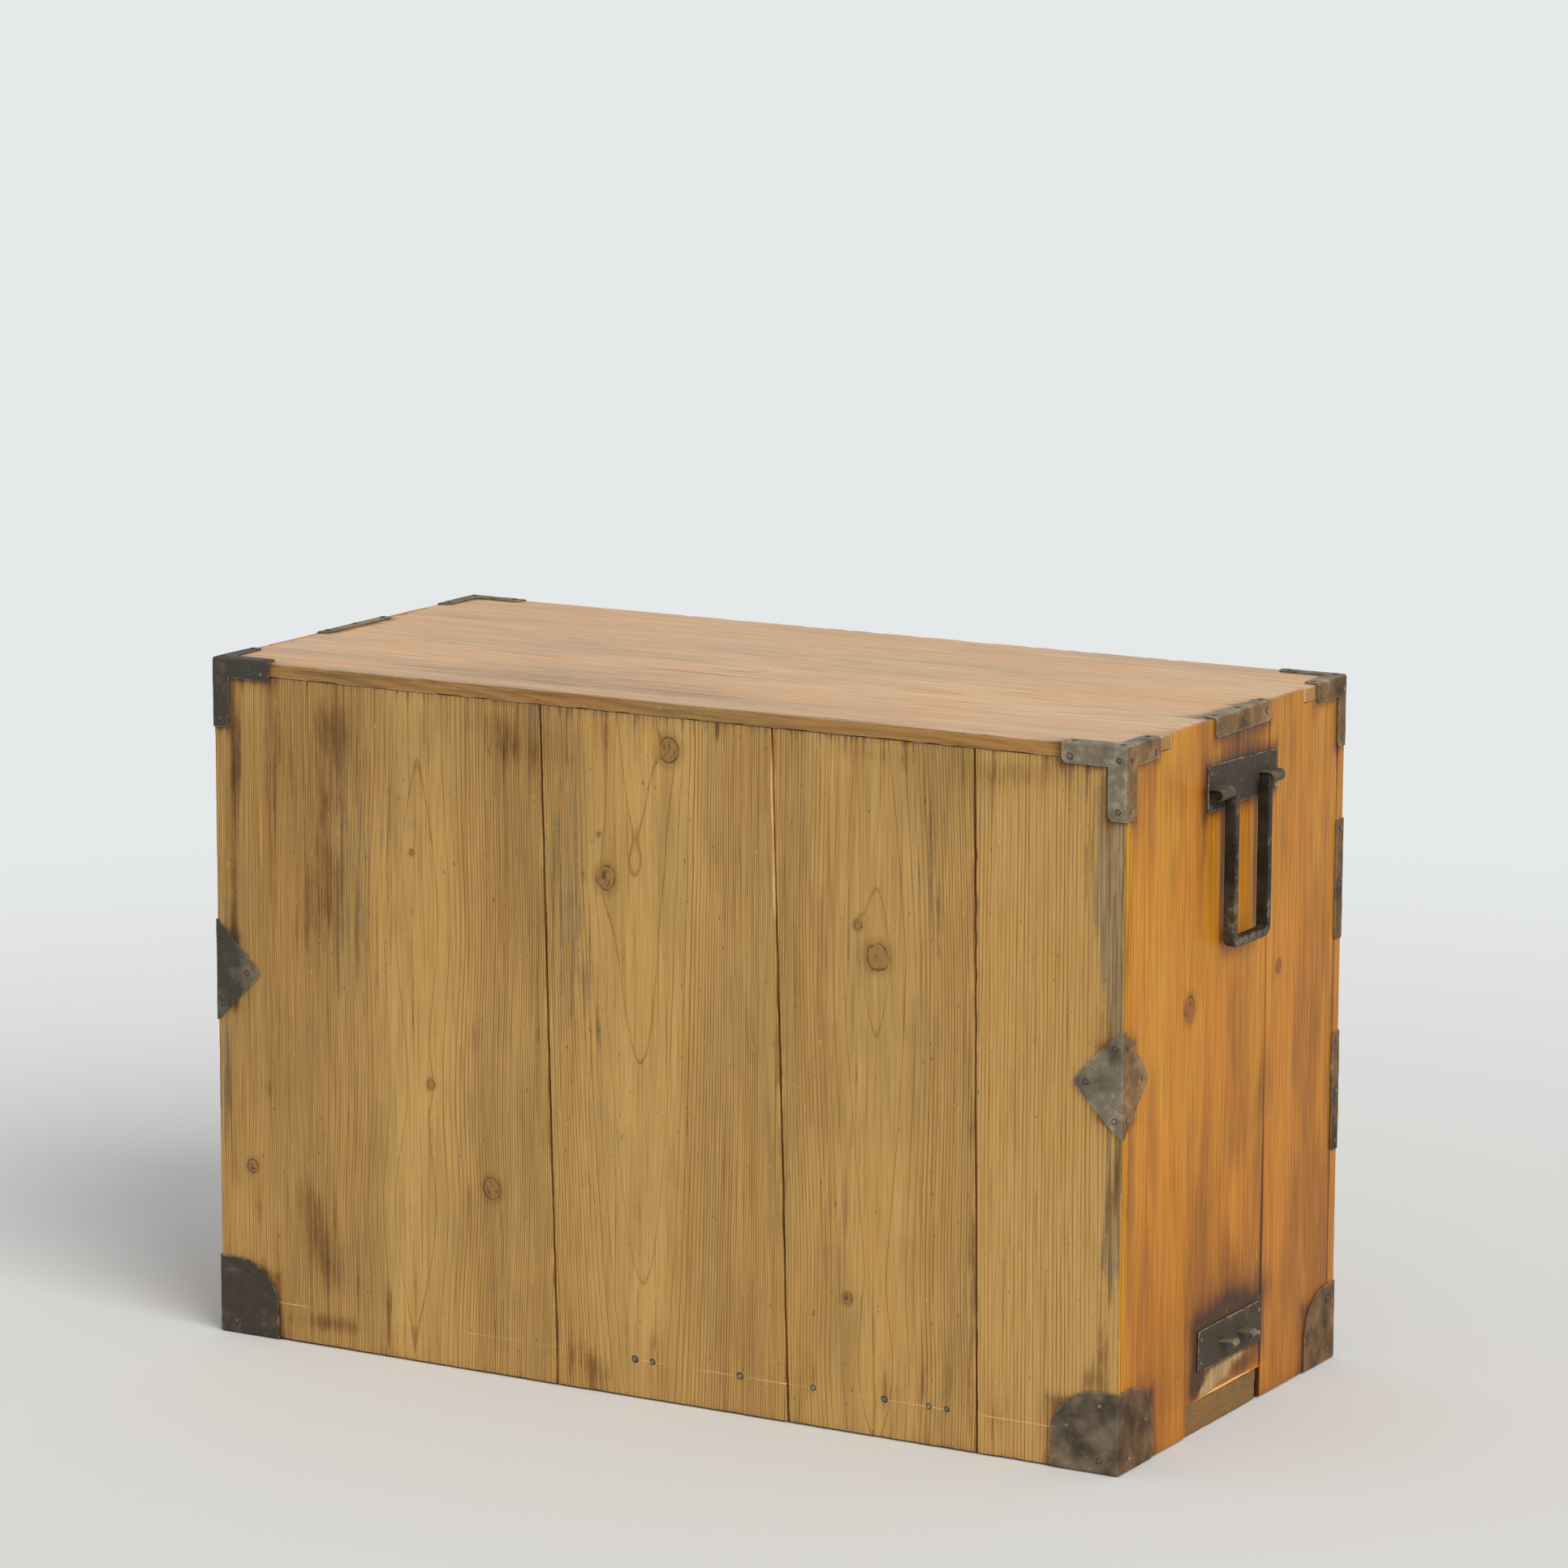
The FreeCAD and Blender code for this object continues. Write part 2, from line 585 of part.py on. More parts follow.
def side_bails():
    """A flat bar bent to a long U, with both ends turned outwards into the eyes."""
    wide, bar, deep = s.bail_width / 2, s.bail_bar, s.bail_depth
    low, high = -s.bail_drop, s.bail_head
    body = body_of("bail")
    loop = outline(body, "YZ", [(-wide, high), (-wide, low), (wide, low), (wide, high),
                                (wide - bar, high), (wide - bar, low + bar),
                                (bar - wide, low + bar), (bar - wide, high)], "bail_loop")
    pad(body, loop, deep, both=True)
    rounded(body, [(0, -wide, low), (0, wide, low)], s.bail_round)
    rounded(body, [(0, bar - wide, low + bar), (0, wide - bar, low + bar)], s.bail_round - bar / 2)
    rounded(body, [(0, bar - wide, high), (0, wide - bar, high)], s.bail_shoulder)
    pin = s.bail_gap + s.eye_length + s.pin_end + bar / 2
    for end, start, turn in (("rear", wide - bar / 2, -90), ("front", bar / 2 - wide, 90)):
        peg = body.newObject("PartDesign::AdditiveCylinder", f"bail_pin_{end}")
        peg.Placement.Rotation = FreeCAD.Rotation(ACROSS, turn)
        bind(peg, Radius=s.pin_radius, Height=pin)
        peg.setExpression("Placement.Base.y", start.formula)
        body.Tip = peg
    place(body, (-half_width - s.pivot_reach, 0, pivot_level))
    keep("left_bail", body)
    keep("right_bail", mirror("bail_right", body, ACROSS))


def hook_plates():
    """A plate with two straps curled out of it, for the cord that ties on the chest below."""
    low = s.hook_plate_foot
    y = (s.hook_plate_shift - s.hook_plate_width / 2, s.hook_plate_shift + s.hook_plate_width / 2)
    plate = block("hook_plate", (-outer_x, -half_width), y, (low, low + s.plate_height))
    curl, strap = s.hook_curl, s.hook_strap
    hooks = []
    for end, sign in (("rear", 1), ("front", -1)):
        body = body_of(f"hook_{end}")
        roll = rings(body, "XZ", [(0, 0, curl), (0, 0, curl - strap)], f"hook_{end}_roll")
        pad(body, roll, s.hook_width, both=True)
        neck = outline(body, "XZ", [(0, curl - strap), (s.hook_reach - curl, curl - strap),
                                    (s.hook_reach - curl, curl), (0, curl)], f"hook_{end}_neck")
        pad(body, neck, s.hook_width, both=True)
        past = curl + s.cut_margin
        mouth = outline(body, "XZ", [(0, -past), (past, -past), (past, curl - strap),
                                     (0, curl - strap)], f"hook_{end}_mouth")
        opening = body.newObject("PartDesign::Pocket", f"hook_{end}_open")
        opening.Profile = mouth
        opening.Midplane = True
        bind(opening, Length=s.hook_width + s.cut_margin * 2)
        body.Tip = opening
        place(body, (curl - outer_x - s.hook_reach, s.hook_spacing / 2 * sign,
                     s.hook_level - curl))
        hooks.append(body)
    left = keep("left_hook_plate", join("hook_plate_whole", "Part::MultiFuse", [plate] + hooks))
    keep("right_hook_plate", mirror("hook_plate_right", left, ACROSS))


# ---------------------------------------------------------------- drawers

def drawer(name, low, high):
    """One drawer between the faces low and high: front, two sides, back and bottom."""
    low, high = low + s.run_gap, high - s.top_gap
    wide = side_in - s.side_gap
    inner = wide - s.drawer_wall
    face = -half_depth
    front_in = face + s.drawer_front
    rear = back_in - s.rear_gap
    floor = low + s.drawer_bottom
    rim = high - s.drawer_drop
    lap_front = front_in - s.drawer_lap

    blank = block(f"{name}_front_blank", (-wide, wide), (face, front_in), (low, high))
    rebates = [block(f"{name}_rebate_{hand}", x, (lap_front, front_in), (floor, rim))
               for hand, x in (("left", (-wide, -inner)), ("right", (inner, wide)))]
    keep(f"{name}_drawer_front", cut(f"{name}_front", blank, rebates))
    sides = [block(f"{name}_side_{hand}", x, (lap_front, rear), (floor, rim))
             for hand, x in (("left", (-wide, -inner)), ("right", (inner, wide)))]
    keep(f"{name}_drawer_sides", join(f"{name}_sides", "Part::Compound", sides))
    keep(f"{name}_drawer_back", block(f"{name}_back", (-inner, inner),
                                      (rear - s.drawer_wall, rear), (floor, rim)))
    keep(f"{name}_drawer_bottom", block(f"{name}_bottom", (-wide, wide), (front_in, rear),
                                        (low, floor)))
    drawer_lock(name, face, front_in, high)
    drawer_pulls(name, face, (low + high) / 2)


def drawer_lock(name, face, front_in, high):
    """A plain lock plate with a keyhole, and the lock case behind the drawer front."""
    top = high - s.lock_drop
    body = body_of(f"{name}_lock_plate")
    wide, tall, clip = s.lock_width / 2, s.lock_height, s.lock_clip
    corners = [(clip - wide, 0), (wide - clip, 0), (wide, clip), (wide, tall - clip),
               (wide - clip, tall), (clip - wide, tall), (-wide, tall - clip), (-wide, clip)]
    pad(body, outline(body, "XZ", corners, f"{name}_lock_outline"), s.washer)
    key, slot = s.key_width / 2, s.key_height / 2
    hole = outline(body, "XZ", [(-key, tall / 2 - slot), (key, tall / 2 - slot),
                                (key, tall / 2 + slot), (-key, tall / 2 + slot)],
                   f"{name}_keyhole")
    keyhole = body.newObject("PartDesign::Pocket", f"{name}_keyhole_cut")
    keyhole.Profile = hole
    keyhole.Midplane = True
    bind(keyhole, Length=(s.washer + s.cut_margin) * 2)
    body.Tip = keyhole
    place(body, (0, face, top - tall))
    half = s.lock_case_width / 2
    middle = top - tall / 2
    case = block(f"{name}_lock_case", (-half, half), (front_in, front_in + s.lock_case_depth),
                 (middle - s.lock_case_height / 2, middle + s.lock_case_height / 2))
    keep(f"{name}_drawer_lock", join(f"{name}_lock", "Part::Compound", [body, case]))


def drawer_pulls(name, face, level):
    """Two swinging pulls, each hung between two eye posts that stand on washers."""
    wide, bar = s.pull_width / 2, s.pull_bar
    low, high = -s.pull_drop, bar / 2
    hole = s.pull_pin + s.pin_play
    post_out = wide - bar - s.post_gap
    posts = []
    for hand, sign in (("left", -1), ("right", 1)):
        middle = s.pull_offset * sign
        body = body_of(f"{name}_pull_{hand}")
        loop = outline(body, "XZ", [(-wide, high), (-wide, low), (wide, low), (wide, high),
                                    (wide - bar, high), (wide - bar, low + bar),
                                    (bar - wide, low + bar), (bar - wide, high)],
                       f"{name}_pull_loop_{hand}")
        pad(body, loop, bar, both=True)
        rounded(body, [(-wide, 0, low), (wide, 0, low)], s.pull_round)
        rounded(body, [(bar - wide, 0, low + bar), (wide - bar, 0, low + bar)], s.pull_round - bar)
        for end, start, turn in (("left", bar / 2 - wide, 90), ("right", wide - bar / 2, -90)):
            peg = body.newObject("PartDesign::AdditiveCylinder", f"{name}_pin_{hand}_{end}")
            peg.Placement.Rotation = FreeCAD.Rotation(ALONG, turn)
            bind(peg, Radius=s.pull_pin, Height=bar / 2 + s.post_gap + s.post_width + s.pin_end)
            peg.setExpression("Placement.Base.x", start.formula)
            body.Tip = peg
        place(body, (middle, face - s.post_reach, level))
        keep(f"{name}_drawer_pull_{hand}", body)

        for end, side in (("left", -1), ("right", 1)):
            tag = f"{name}_post_{hand}_{end}"
            post = body_of(tag)
            half, clip, shank = s.post_half, s.post_half / 2, s.post_shank / 2
            seat, root = s.post_reach - s.washer, s.post_reach + s.post_root
            profile = outline(post, "YZ", [(-half, -clip), (-clip, -half), (seat, -half),
                                           (seat, -shank), (root, -shank), (root, shank),
                                           (seat, shank), (seat, half), (-clip, half),
                                           (-half, clip)], tag + "_profile")
            pad(post, profile, s.post_width, both=True)
            bore = rings(post, "YZ", [(0, 0, hole)], tag + "_bore")
            drill = post.newObject("PartDesign::Pocket", tag + "_drill")
            drill.Profile = bore
            drill.Midplane = True
            bind(drill, Length=s.post_width + s.cut_margin * 2)
            post.Tip = drill
            x = middle + (post_out - s.post_width / 2) * side
            place(post, (x, face - s.post_reach, level))
            reach = s.washer_half
            plate = block(tag + "_plate", (x - reach, x + reach), (face - s.washer, face),
                          (level - reach, level + reach))
            slot = block(tag + "_slot", (x - s.post_width / 2, x + s.post_width / 2),
                         (face - s.washer, face), (level - shank, level + shank))
            posts += [post, cut(tag + "_washer", plate, [slot])]
    keep(f"{name}_drawer_pull_posts", join(f"{name}_posts", "Part::Compound", posts))


# ---------------------------------------------------------------- nails

def pyramid(half, height):
    """A square pyramid on the plane z = 0, up or, with a negative height, down."""
    corners = [FreeCAD.Vector(half, half, 0), FreeCAD.Vector(-half, half, 0),
               FreeCAD.Vector(-half, -half, 0), FreeCAD.Vector(half, -half, 0)]
    tip = FreeCAD.Vector(0, 0, height)
    faces = [Part.Face(Part.makePolygon(corners + corners[:1]))]
    for i in range(4):
        faces.append(Part.Face(Part.makePolygon([corners[i - 1], corners[i], tip, corners[i - 1]])))
    solid = Part.Solid(Part.Shell(faces))
    if solid.Volume < 0:
        solid.reverse()
    return solid


def one_nail(point, outward):
    """A forged nail: low four-sided head on the iron at point, pointed shank behind it."""
    head = pyramid(s.nail_head.value, s.nail_rise.value)
    shank = pyramid(s.nail_shank.value / 2, -s.nail_length.value)
    nail = head.fuse(shank)
    turn = FreeCAD.Rotation(FreeCAD.Vector(0, 0, 1), outward)
    nail.Placement = FreeCAD.Placement(point, turn)
    return nail


# Where the back boards are nailed to the case bottom, from the middle of the back.
BACK_ROW = (16.5, -1, -87, -158, -226, -268, -285)


def case_nails():
    """Every nail of the irons, and the row through the back boards into the case bottom."""
    left, rear, front, up = (FreeCAD.Vector(-1, 0, 0), FreeCAD.Vector(0, 1, 0),
                             FreeCAD.Vector(0, -1, 0), FreeCAD.Vector(0, 0, 1))
    x_out, y_out, z_out = outer_x.value, outer_y.value, outer_z.value
    edge = s.nail_edge.value
    arm, drop = s.corner_arm.value - edge, s.corner_drop.value - edge
    spots = []

    def on_side(ahead, height):
        """A nail on the left side: ahead is its distance from the rear face of the irons."""
        spots.append((FreeCAD.Vector(-x_out, y_out - ahead, height), left))

    def on_back(inwards, height):
        spots.append((FreeCAD.Vector(inwards - x_out, y_out, height), rear))

    def on_front(inwards, height):
        spots.append((FreeCAD.Vector(inwards - x_out, -y_out, height), front))

    def on_top(inwards, ahead):
        spots.append((FreeCAD.Vector(inwards - x_out, y_out - ahead, z_out), up))

    depth = 2 * y_out
    inset = s.nail_inset.value
    for along, down in ((arm, inset), (edge, inset), (edge, drop)):
        on_back(along, z_out - down)
        on_side(along, z_out - down)
        on_side(depth - along, z_out - down)
    on_front(arm, z_out - s.corner_front_band.value / 2)
    on_front(edge, z_out - inset)
    on_front(edge, z_out - drop)
    for inwards, ahead in ((arm, edge), (edge, arm), (edge, edge)):
        on_top(inwards, ahead)
        on_top(inwards, depth - ahead)

    width, height, near = s.shoe_width.value, s.shoe_height.value, s.shoe_nail_near.value
    for along, level in ((near, height - inset), (near, inset),
                         (s.shoe_nail_far.value, s.shoe_nail_level.value)):
        on_back(along, level)
        on_side(along, level)
        on_side(depth - along, level)
    on_front(edge, height - edge)
    on_front(width - edge, s.shoe_front_band.value / 2)

    middle, reach = s.diamond_level.value, s.diamond_reach.value
    rise, tip = s.diamond_nail_rise.value, reach - s.diamond_nail_inset.value
    for along, level in ((edge, middle + rise), (tip, middle), (edge, middle - rise)):
        on_back(along, level)
        on_side(along, level)

    span = s.strap_length.value / 2 - edge
    strap_middle = y_out + s.strap_shift.value
    for step in (-1, 0, 1):
        ahead = strap_middle + step * span
        on_side(ahead, z_out - s.strap_side_leg.value / 2)
        on_top(s.strap_top_leg.value / 2, ahead)
        for rail_foot in (lower_rail_foot, upper_rail_foot):
            level = rail_foot.value + s.rail_height.value / 2 + step * span
            on_side(depth - s.strap_front_leg.value / 2, level)
            on_front(s.strap_front_leg.value / 2, level)

    plate_half = s.plate_width.value / 2 - edge / 2
    for ahead in (strap_middle - plate_half, strap_middle + plate_half):
        for level in (edge / 2, s.plate_height.value - edge / 2):
            on_side(ahead, plate_foot.value + level)
    on_side(y_out, plate_foot.value + s.plate_height.value / 2)
    hook_half = s.hook_plate_width.value / 2 - edge / 2
    hook_middle = y_out - s.hook_plate_shift.value
    for ahead in (hook_middle - hook_half, hook_middle + hook_half):
        for level in (edge, s.plate_height.value - edge):
            on_side(ahead, s.hook_plate_foot.value + level)

    nails = []
    for point, outward in spots:
        nails.append(one_nail(point, outward))
        other = FreeCAD.Vector(-point.x, point.y, point.z)
        nails.append(one_nail(other, FreeCAD.Vector(-outward.x, outward.y, outward.z)))
    for x in BACK_ROW:
        point = FreeCAD.Vector(x, half_depth.value, s.back_nail_level.value)
        nails.append(one_nail(point, rear))
    piece = doc.addObject("Part::Feature", "nails")
    piece.Shape = Part.makeCompound(nails)
    keep("case_nails", piece)


# ---------------------------------------------------------------- the whole chest

top_board()
side_boards()
back_boards()
frame_and_floor()
top_corner_irons()
bottom_corner_irons()
edge_irons()
handle_plates()
handle_eyes()
side_bails()
hook_plates()
drawer("bottom", base_top, lower_rail_foot)
drawer("middle", lower_rail_foot + s.rail_height, upper_rail_foot)
drawer("top", upper_rail_foot + s.rail_height, under_top)
case_nails()
doc.recompute()

faults = []
for piece in doc.Objects:
    if "Invalid" in piece.State or "Error" in piece.State:
        faults.append(f"{piece.Label}: {piece.State}")
for node, piece in kept.items():
    if piece.Shape.isNull() or not piece.Shape.isValid() or not piece.Shape.Solids:
        faults.append(f"{node}: no valid solid")
if faults:
    raise RuntimeError("; ".join(faults))

for node, piece in kept.items():
    piece.Shape.exportStep(f"parts/{node}.step")
print(len(kept), "sub-parts,", sum(len(piece.Shape.Solids) for piece in kept.values()), "solids")
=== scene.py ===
"""The looks of a stacking chest: softwood boards, nailed sheet irons, forged bails and hooks.

Lengths are in millimetres until a piece is put into the scene. A board or a sheet iron is the
skin of the kept cells of a block lattice, bent, worn and hammered by smooth random fields. A bar,
a strap or an eye is a rounded outline carried along a path.
"""

import json
import math

import bpy
import numpy as np
from mathutils import Matrix, Vector


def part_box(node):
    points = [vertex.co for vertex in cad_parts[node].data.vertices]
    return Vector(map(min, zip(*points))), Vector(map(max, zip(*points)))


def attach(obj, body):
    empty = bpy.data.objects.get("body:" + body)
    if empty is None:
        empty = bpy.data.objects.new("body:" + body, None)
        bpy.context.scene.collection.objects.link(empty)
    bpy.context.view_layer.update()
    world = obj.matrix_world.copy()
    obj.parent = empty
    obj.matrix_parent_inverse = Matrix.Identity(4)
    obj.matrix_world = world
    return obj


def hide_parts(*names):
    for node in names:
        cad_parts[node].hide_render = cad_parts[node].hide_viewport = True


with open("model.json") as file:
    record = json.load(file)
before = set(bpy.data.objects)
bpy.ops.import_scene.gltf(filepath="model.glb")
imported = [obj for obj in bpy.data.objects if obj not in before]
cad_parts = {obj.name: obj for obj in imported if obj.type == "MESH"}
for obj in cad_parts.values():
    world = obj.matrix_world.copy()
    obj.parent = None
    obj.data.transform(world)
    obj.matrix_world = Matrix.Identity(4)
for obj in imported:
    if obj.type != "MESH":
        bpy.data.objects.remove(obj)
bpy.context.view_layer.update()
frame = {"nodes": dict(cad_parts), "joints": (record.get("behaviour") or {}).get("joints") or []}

# ------------------------------------------------------------------ case bottom and rails
# The bottom board lies on a cross batten and is nailed from behind; rails part the drawers
# at the front, and runners carry them at the sides. All is bare planed softwood, butted and
# nailed. The batten's ends show in the notches of the sides and are brown with age.

X, Y, Z = 0, 1, 2
FIELD = 48


def drift(points, cell, seed, octaves=1):
    """Smooth random field, about -1 to 1. Random values stand on a lattice with cells of that
    size along x, y and z, and between them it blends with 3t^2 - 2t^3. Each further octave has
    cells half as large and counts half as much."""
    total = np.zeros(len(points))
    for octave in range(octaves):
        table = np.random.default_rng(seed + octave).uniform(-1, 1, (FIELD,) * 3)
        place = points * 2 ** octave / np.asarray(cell, float)
        corner = np.floor(place).astype(int)
        t = place - corner
        t = t * t * (3 - 2 * t)
        for step in np.ndindex(2, 2, 2):
            weight = np.where(step, t, 1 - t).prod(axis=1)
            i, j, k = ((corner + step) % FIELD).T
            total += weight * table[i, j, k] / 2 ** octave
    return total


def planes(low, high, step, marks=()):
    """Lattice planes from low to high, about step apart, with one at each mark between."""
    stops = [low, *sorted(m for m in marks if low < m < high), high]
    runs = [np.linspace(a, b, max(1, round((b - a) / step)) + 1)[:-1]
            for a, b in zip(stops, stops[1:])]
    return np.append(np.concatenate(runs), high)


def skin(grid, kept):
    """Points and four-sided faces of the skin of a block lattice. grid holds the planes along
    x, y and z, kept says which cells are solid; a face lies wherever a kept cell meets an
    empty one, and is turned to the empty side."""
    count = [len(line) for line in grid]
    index = np.arange(np.prod(count)).reshape(count)
    solid = np.pad(kept, 1)
    faces = []
    for axis in (X, Y, Z):
        cells = np.moveaxis(solid, axis, 0)[:, 1:-1, 1:-1]
        near, far = cells[:-1], cells[1:]
        p = np.moveaxis(index, axis, 0)
        quads = np.stack([p[:, :-1, :-1], p[:, 1:, :-1], p[:, 1:, 1:], p[:, :-1, 1:]], -1)
        if axis == Y:
            quads = quads[..., ::-1]
        faces += [quads[near & ~far], quads[far & ~near][:, ::-1]]
    used, faces = np.unique(np.concatenate(faces), return_inverse=True)
    points = np.stack(np.meshgrid(*grid, indexing="ij"), -1).reshape(-1, 3)[used]
    return points, faces.reshape(-1, 4)


def centres(grid):
    """Middle of every cell of a lattice, as an array with the lattice's shape and x, y, z."""
    return np.stack(np.meshgrid(*[(g[:-1] + g[1:]) / 2 for g in grid], indexing="ij"), -1)


def within(middle, boxes):
    """Which cells have their middle inside any of the boxes."""
    found = np.zeros(middle.shape[:3], bool)
    for low, high in boxes:
        found |= ((middle > low) & (middle < high)).all(axis=-1)
    return found


def outward(points, faces):
    """Unit normal at each point, and how sharp the surface is there: 0 on a flat, 0.3 on an
    edge and more on a corner. It sums the unit normals of the faces round the point."""
    a, b, c = (points[faces[:, i]] for i in range(3))
    flat = np.cross(b - a, c - b)
    flat /= np.linalg.norm(flat, axis=1, keepdims=True) + 1e-12
    total = np.zeros_like(points)
    for i in range(4):
        np.add.at(total, faces[:, i], flat)
    length = np.linalg.norm(total, axis=1)
    around = np.bincount(faces.ravel(), minlength=len(points))
    return total / (length[:, None] + 1e-9), 1 - length / around


EDGE_STEPS, EDGE_FROM = 2, math.radians(48)


def put(name, points, faces, finish, body, nodes=(), marks=None, edge=0.0):
    """Puts a surface into the scene as one piece. marks are named numbers, one a point, and
    edge is what a Bevel takes off each sharp edge."""
    mesh = bpy.data.meshes.new(name)
    faces = faces.tolist() if isinstance(faces, np.ndarray) else faces
    mesh.from_pydata((points / 1000).tolist(), [], faces)
    for label, values in (marks or {}).items():
        layer = mesh.attributes.new(label, "FLOAT", "POINT")
        layer.data.foreach_set("value", np.asarray(values, np.float32))
    mesh.shade_smooth()
    mesh.materials.append(finish)
    piece = bpy.data.objects.new(name, mesh)
    bpy.context.scene.collection.objects.link(piece)
    if edge:
        worn = piece.modifiers.new("worn edge", "BEVEL")
        worn.width = edge / 1000
        worn.segments = EDGE_STEPS
        worn.limit_method = "ANGLE"
        worn.angle_limit = EDGE_FROM
        worn.harden_normals = True
    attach(piece, body)
    if nodes:
        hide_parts(*nodes)
    return piece


def box_mm(node):
    """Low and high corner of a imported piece, in millimetres."""
    low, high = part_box(node)
    return np.array(low) * 1000, np.array(high) * 1000


CORE, SLOW = 12, 0.75
GAP_WIDEST = 40
KNOT_TALL, KNOT_DIP, DIP_POINT, DIP_SIDE, DIP_ALONG = 1.15, 0.16, 0.25, 1.3, 4.5


def growth(points, along, face, pith, width, slope=0.0, lean=0.0, wave=2.0, shift=0.0,
           swells=(), knots=(), seed=1):
    """Growth rings of the tree at each point, and how near a knot the point is. The pith runs
    along the board at pith = (across, depth), drifting by lean and slope, and each swell
    (level, half length, height) brings it nearer to the face, which draws a closed arch. With d
    the distance to the pith, less that at the face over it, the count is
    (d - s c (1 - exp(-d / c))) / width, and (1 - s) d / width inside: rings are wide over the
    pith and close up c beyond it. A knot (across, along, radius) is a dip in that count, drawn
    out and pointed along the grain; its mark is 2 in the middle, 1 on the rim and 0 a radius
    outside it. The last number is how far apart the rings lie on the face, in millimetres."""
    across = 3 - along - face

    stretch = np.full(3, 60.0)
    stretch[along] = 300.0
    side = points[:, across] - pith[0] - lean * points[:, along]
    side = side + wave * drift(points, stretch, seed + 4)
    depth = points[:, face] - pith[1] - slope * points[:, along]
    behind = np.sign(depth.mean())
    outer = (points[:, face] * behind).max() * behind - pith[1]
    depth = depth + wave * drift(points, stretch, seed)
    for level, half, height in swells:
        depth -= behind * height * np.exp(-((points[:, along] - level) / half) ** 2)
    radius = np.hypot(side, depth)
    beyond = radius - abs(outer)
    fade = np.exp(-np.maximum(beyond, 0) / CORE)
    rings = beyond - SLOW * (CORE * (1 - fade) + np.minimum(beyond, 0))
    rings = rings / width + shift + 200
    gap = np.clip(width / (1 - SLOW * fade) * radius / np.maximum(np.abs(side), 1), 1,
                  GAP_WIDEST)
    rings += 0.2 * drift(points, stretch * 0.3, seed + 9) * np.minimum(1, 3 / gap)
    knot = np.zeros(len(points))
    for middle, level, size in knots:
        u, v = (points[:, across] - middle) / size, (points[:, along] - level) / size
        far = np.hypot(u, DIP_POINT) / DIP_SIDE + np.abs(v) / DIP_ALONG
        dip = KNOT_DIP * size * np.exp(-far)
        rings -= dip
        gap = 1 / (1 / gap + dip / (DIP_SIDE * size))
        knot = np.maximum(knot, np.clip(2 - np.hypot(u, v / KNOT_TALL), 0, 2))
    return rings, knot, gap


def tint(red, green, blue):
    return (red, green, blue, 1.0)


def words(tree):
    """Short words that build a node tree. add makes a node: its inputs are numbers, colours or
    other nodes' sockets, and other words set its own options. maths, plus and times do sums,
    ease runs smoothly between two limits, and mark reads a mark of the mesh."""
    tree.nodes.clear()

    def add(kind, inputs=None, **options):
        node = tree.nodes.new("ShaderNode" + kind)
        for option, value in options.items():
            setattr(node, option, value)
        for key, value in (inputs or {}).items():
            if isinstance(value, bpy.types.NodeSocket):
                tree.links.new(value, node.inputs[key])
            else:
                node.inputs[key].default_value = value
        return node

    def maths(operation, first, second=0.0):
        return add("Math", {0: first, 1: second}, operation=operation).outputs[0]

    def plus(first, *more):
        return maths("ADD", first, plus(*more)) if more else first

    def times(first, second):
        return maths("MULTIPLY", first, second)

    def ease(value, low, high, bottom=0.0, top=1.0):
        return add("MapRange", {0: value, 1: low, 2: high, 3: bottom, 4: top},
                   interpolation_type="SMOOTHSTEP").outputs[0]

    def mark(label):
        return add("Attribute", attribute_name=label).outputs["Fac"]

    return add, maths, plus, times, ease, mark


def shader(name):
    """A new material and its words. Besides those of words, noise is cloudy noise with cells of
    that size in millimetres, about swings a noise round 0, coats lays colours over a ground,
    each with its share, oiled multiplies a colour where the mark oil lies, which on the sheet
    irons of the sides stands partly for oil and partly for painted warm light, and dress makes
    the surface, with relief as the height of its bumps in millimetres."""
    material = bpy.data.materials.new(name)
    material.use_nodes = True
    add, maths, plus, times, ease, mark = words(material.node_tree)
    place = add("TexCoord").outputs["Object"]

    def noise(size, detail, rough=0.6, place=place):
        return add("TexNoise", {"Vector": place, "Scale": 1000 / size, "Detail": detail,
                                "Roughness": rough}).outputs[0]

    def about(noise, gain, middle=0.5):
        return times(maths("SUBTRACT", noise, middle), gain)

    def coats(ground, *layers):
        for share, paint in layers:
            ground = add("Mix", {0: share, 6: ground, 7: tint(*paint)},
                         data_type="RGBA").outputs[2]
        return ground

    def oiled(colour, by):
        return add("Mix", {0: mark("oil"), 6: colour, 7: tint(*by)}, data_type="RGBA",
                   blend_type="MULTIPLY").outputs[2]

    def dress(colour, rough, height, relief, specular, metallic=0.0):
        bump = add("Bump", {"Height": height, "Strength": 1.0, "Distance": relief / 1000})
        look = add("BsdfPrincipled", {"Base Color": colour, "Roughness": rough,
                                      "Normal": bump.outputs[0], "Metallic": metallic,
                                      "Specular IOR Level": specular})
        add("OutputMaterial", {"Surface": look.outputs[0]})
        return material

    return (add, maths, plus, times, ease, mark), (place, noise, about, coats, oiled, dress)


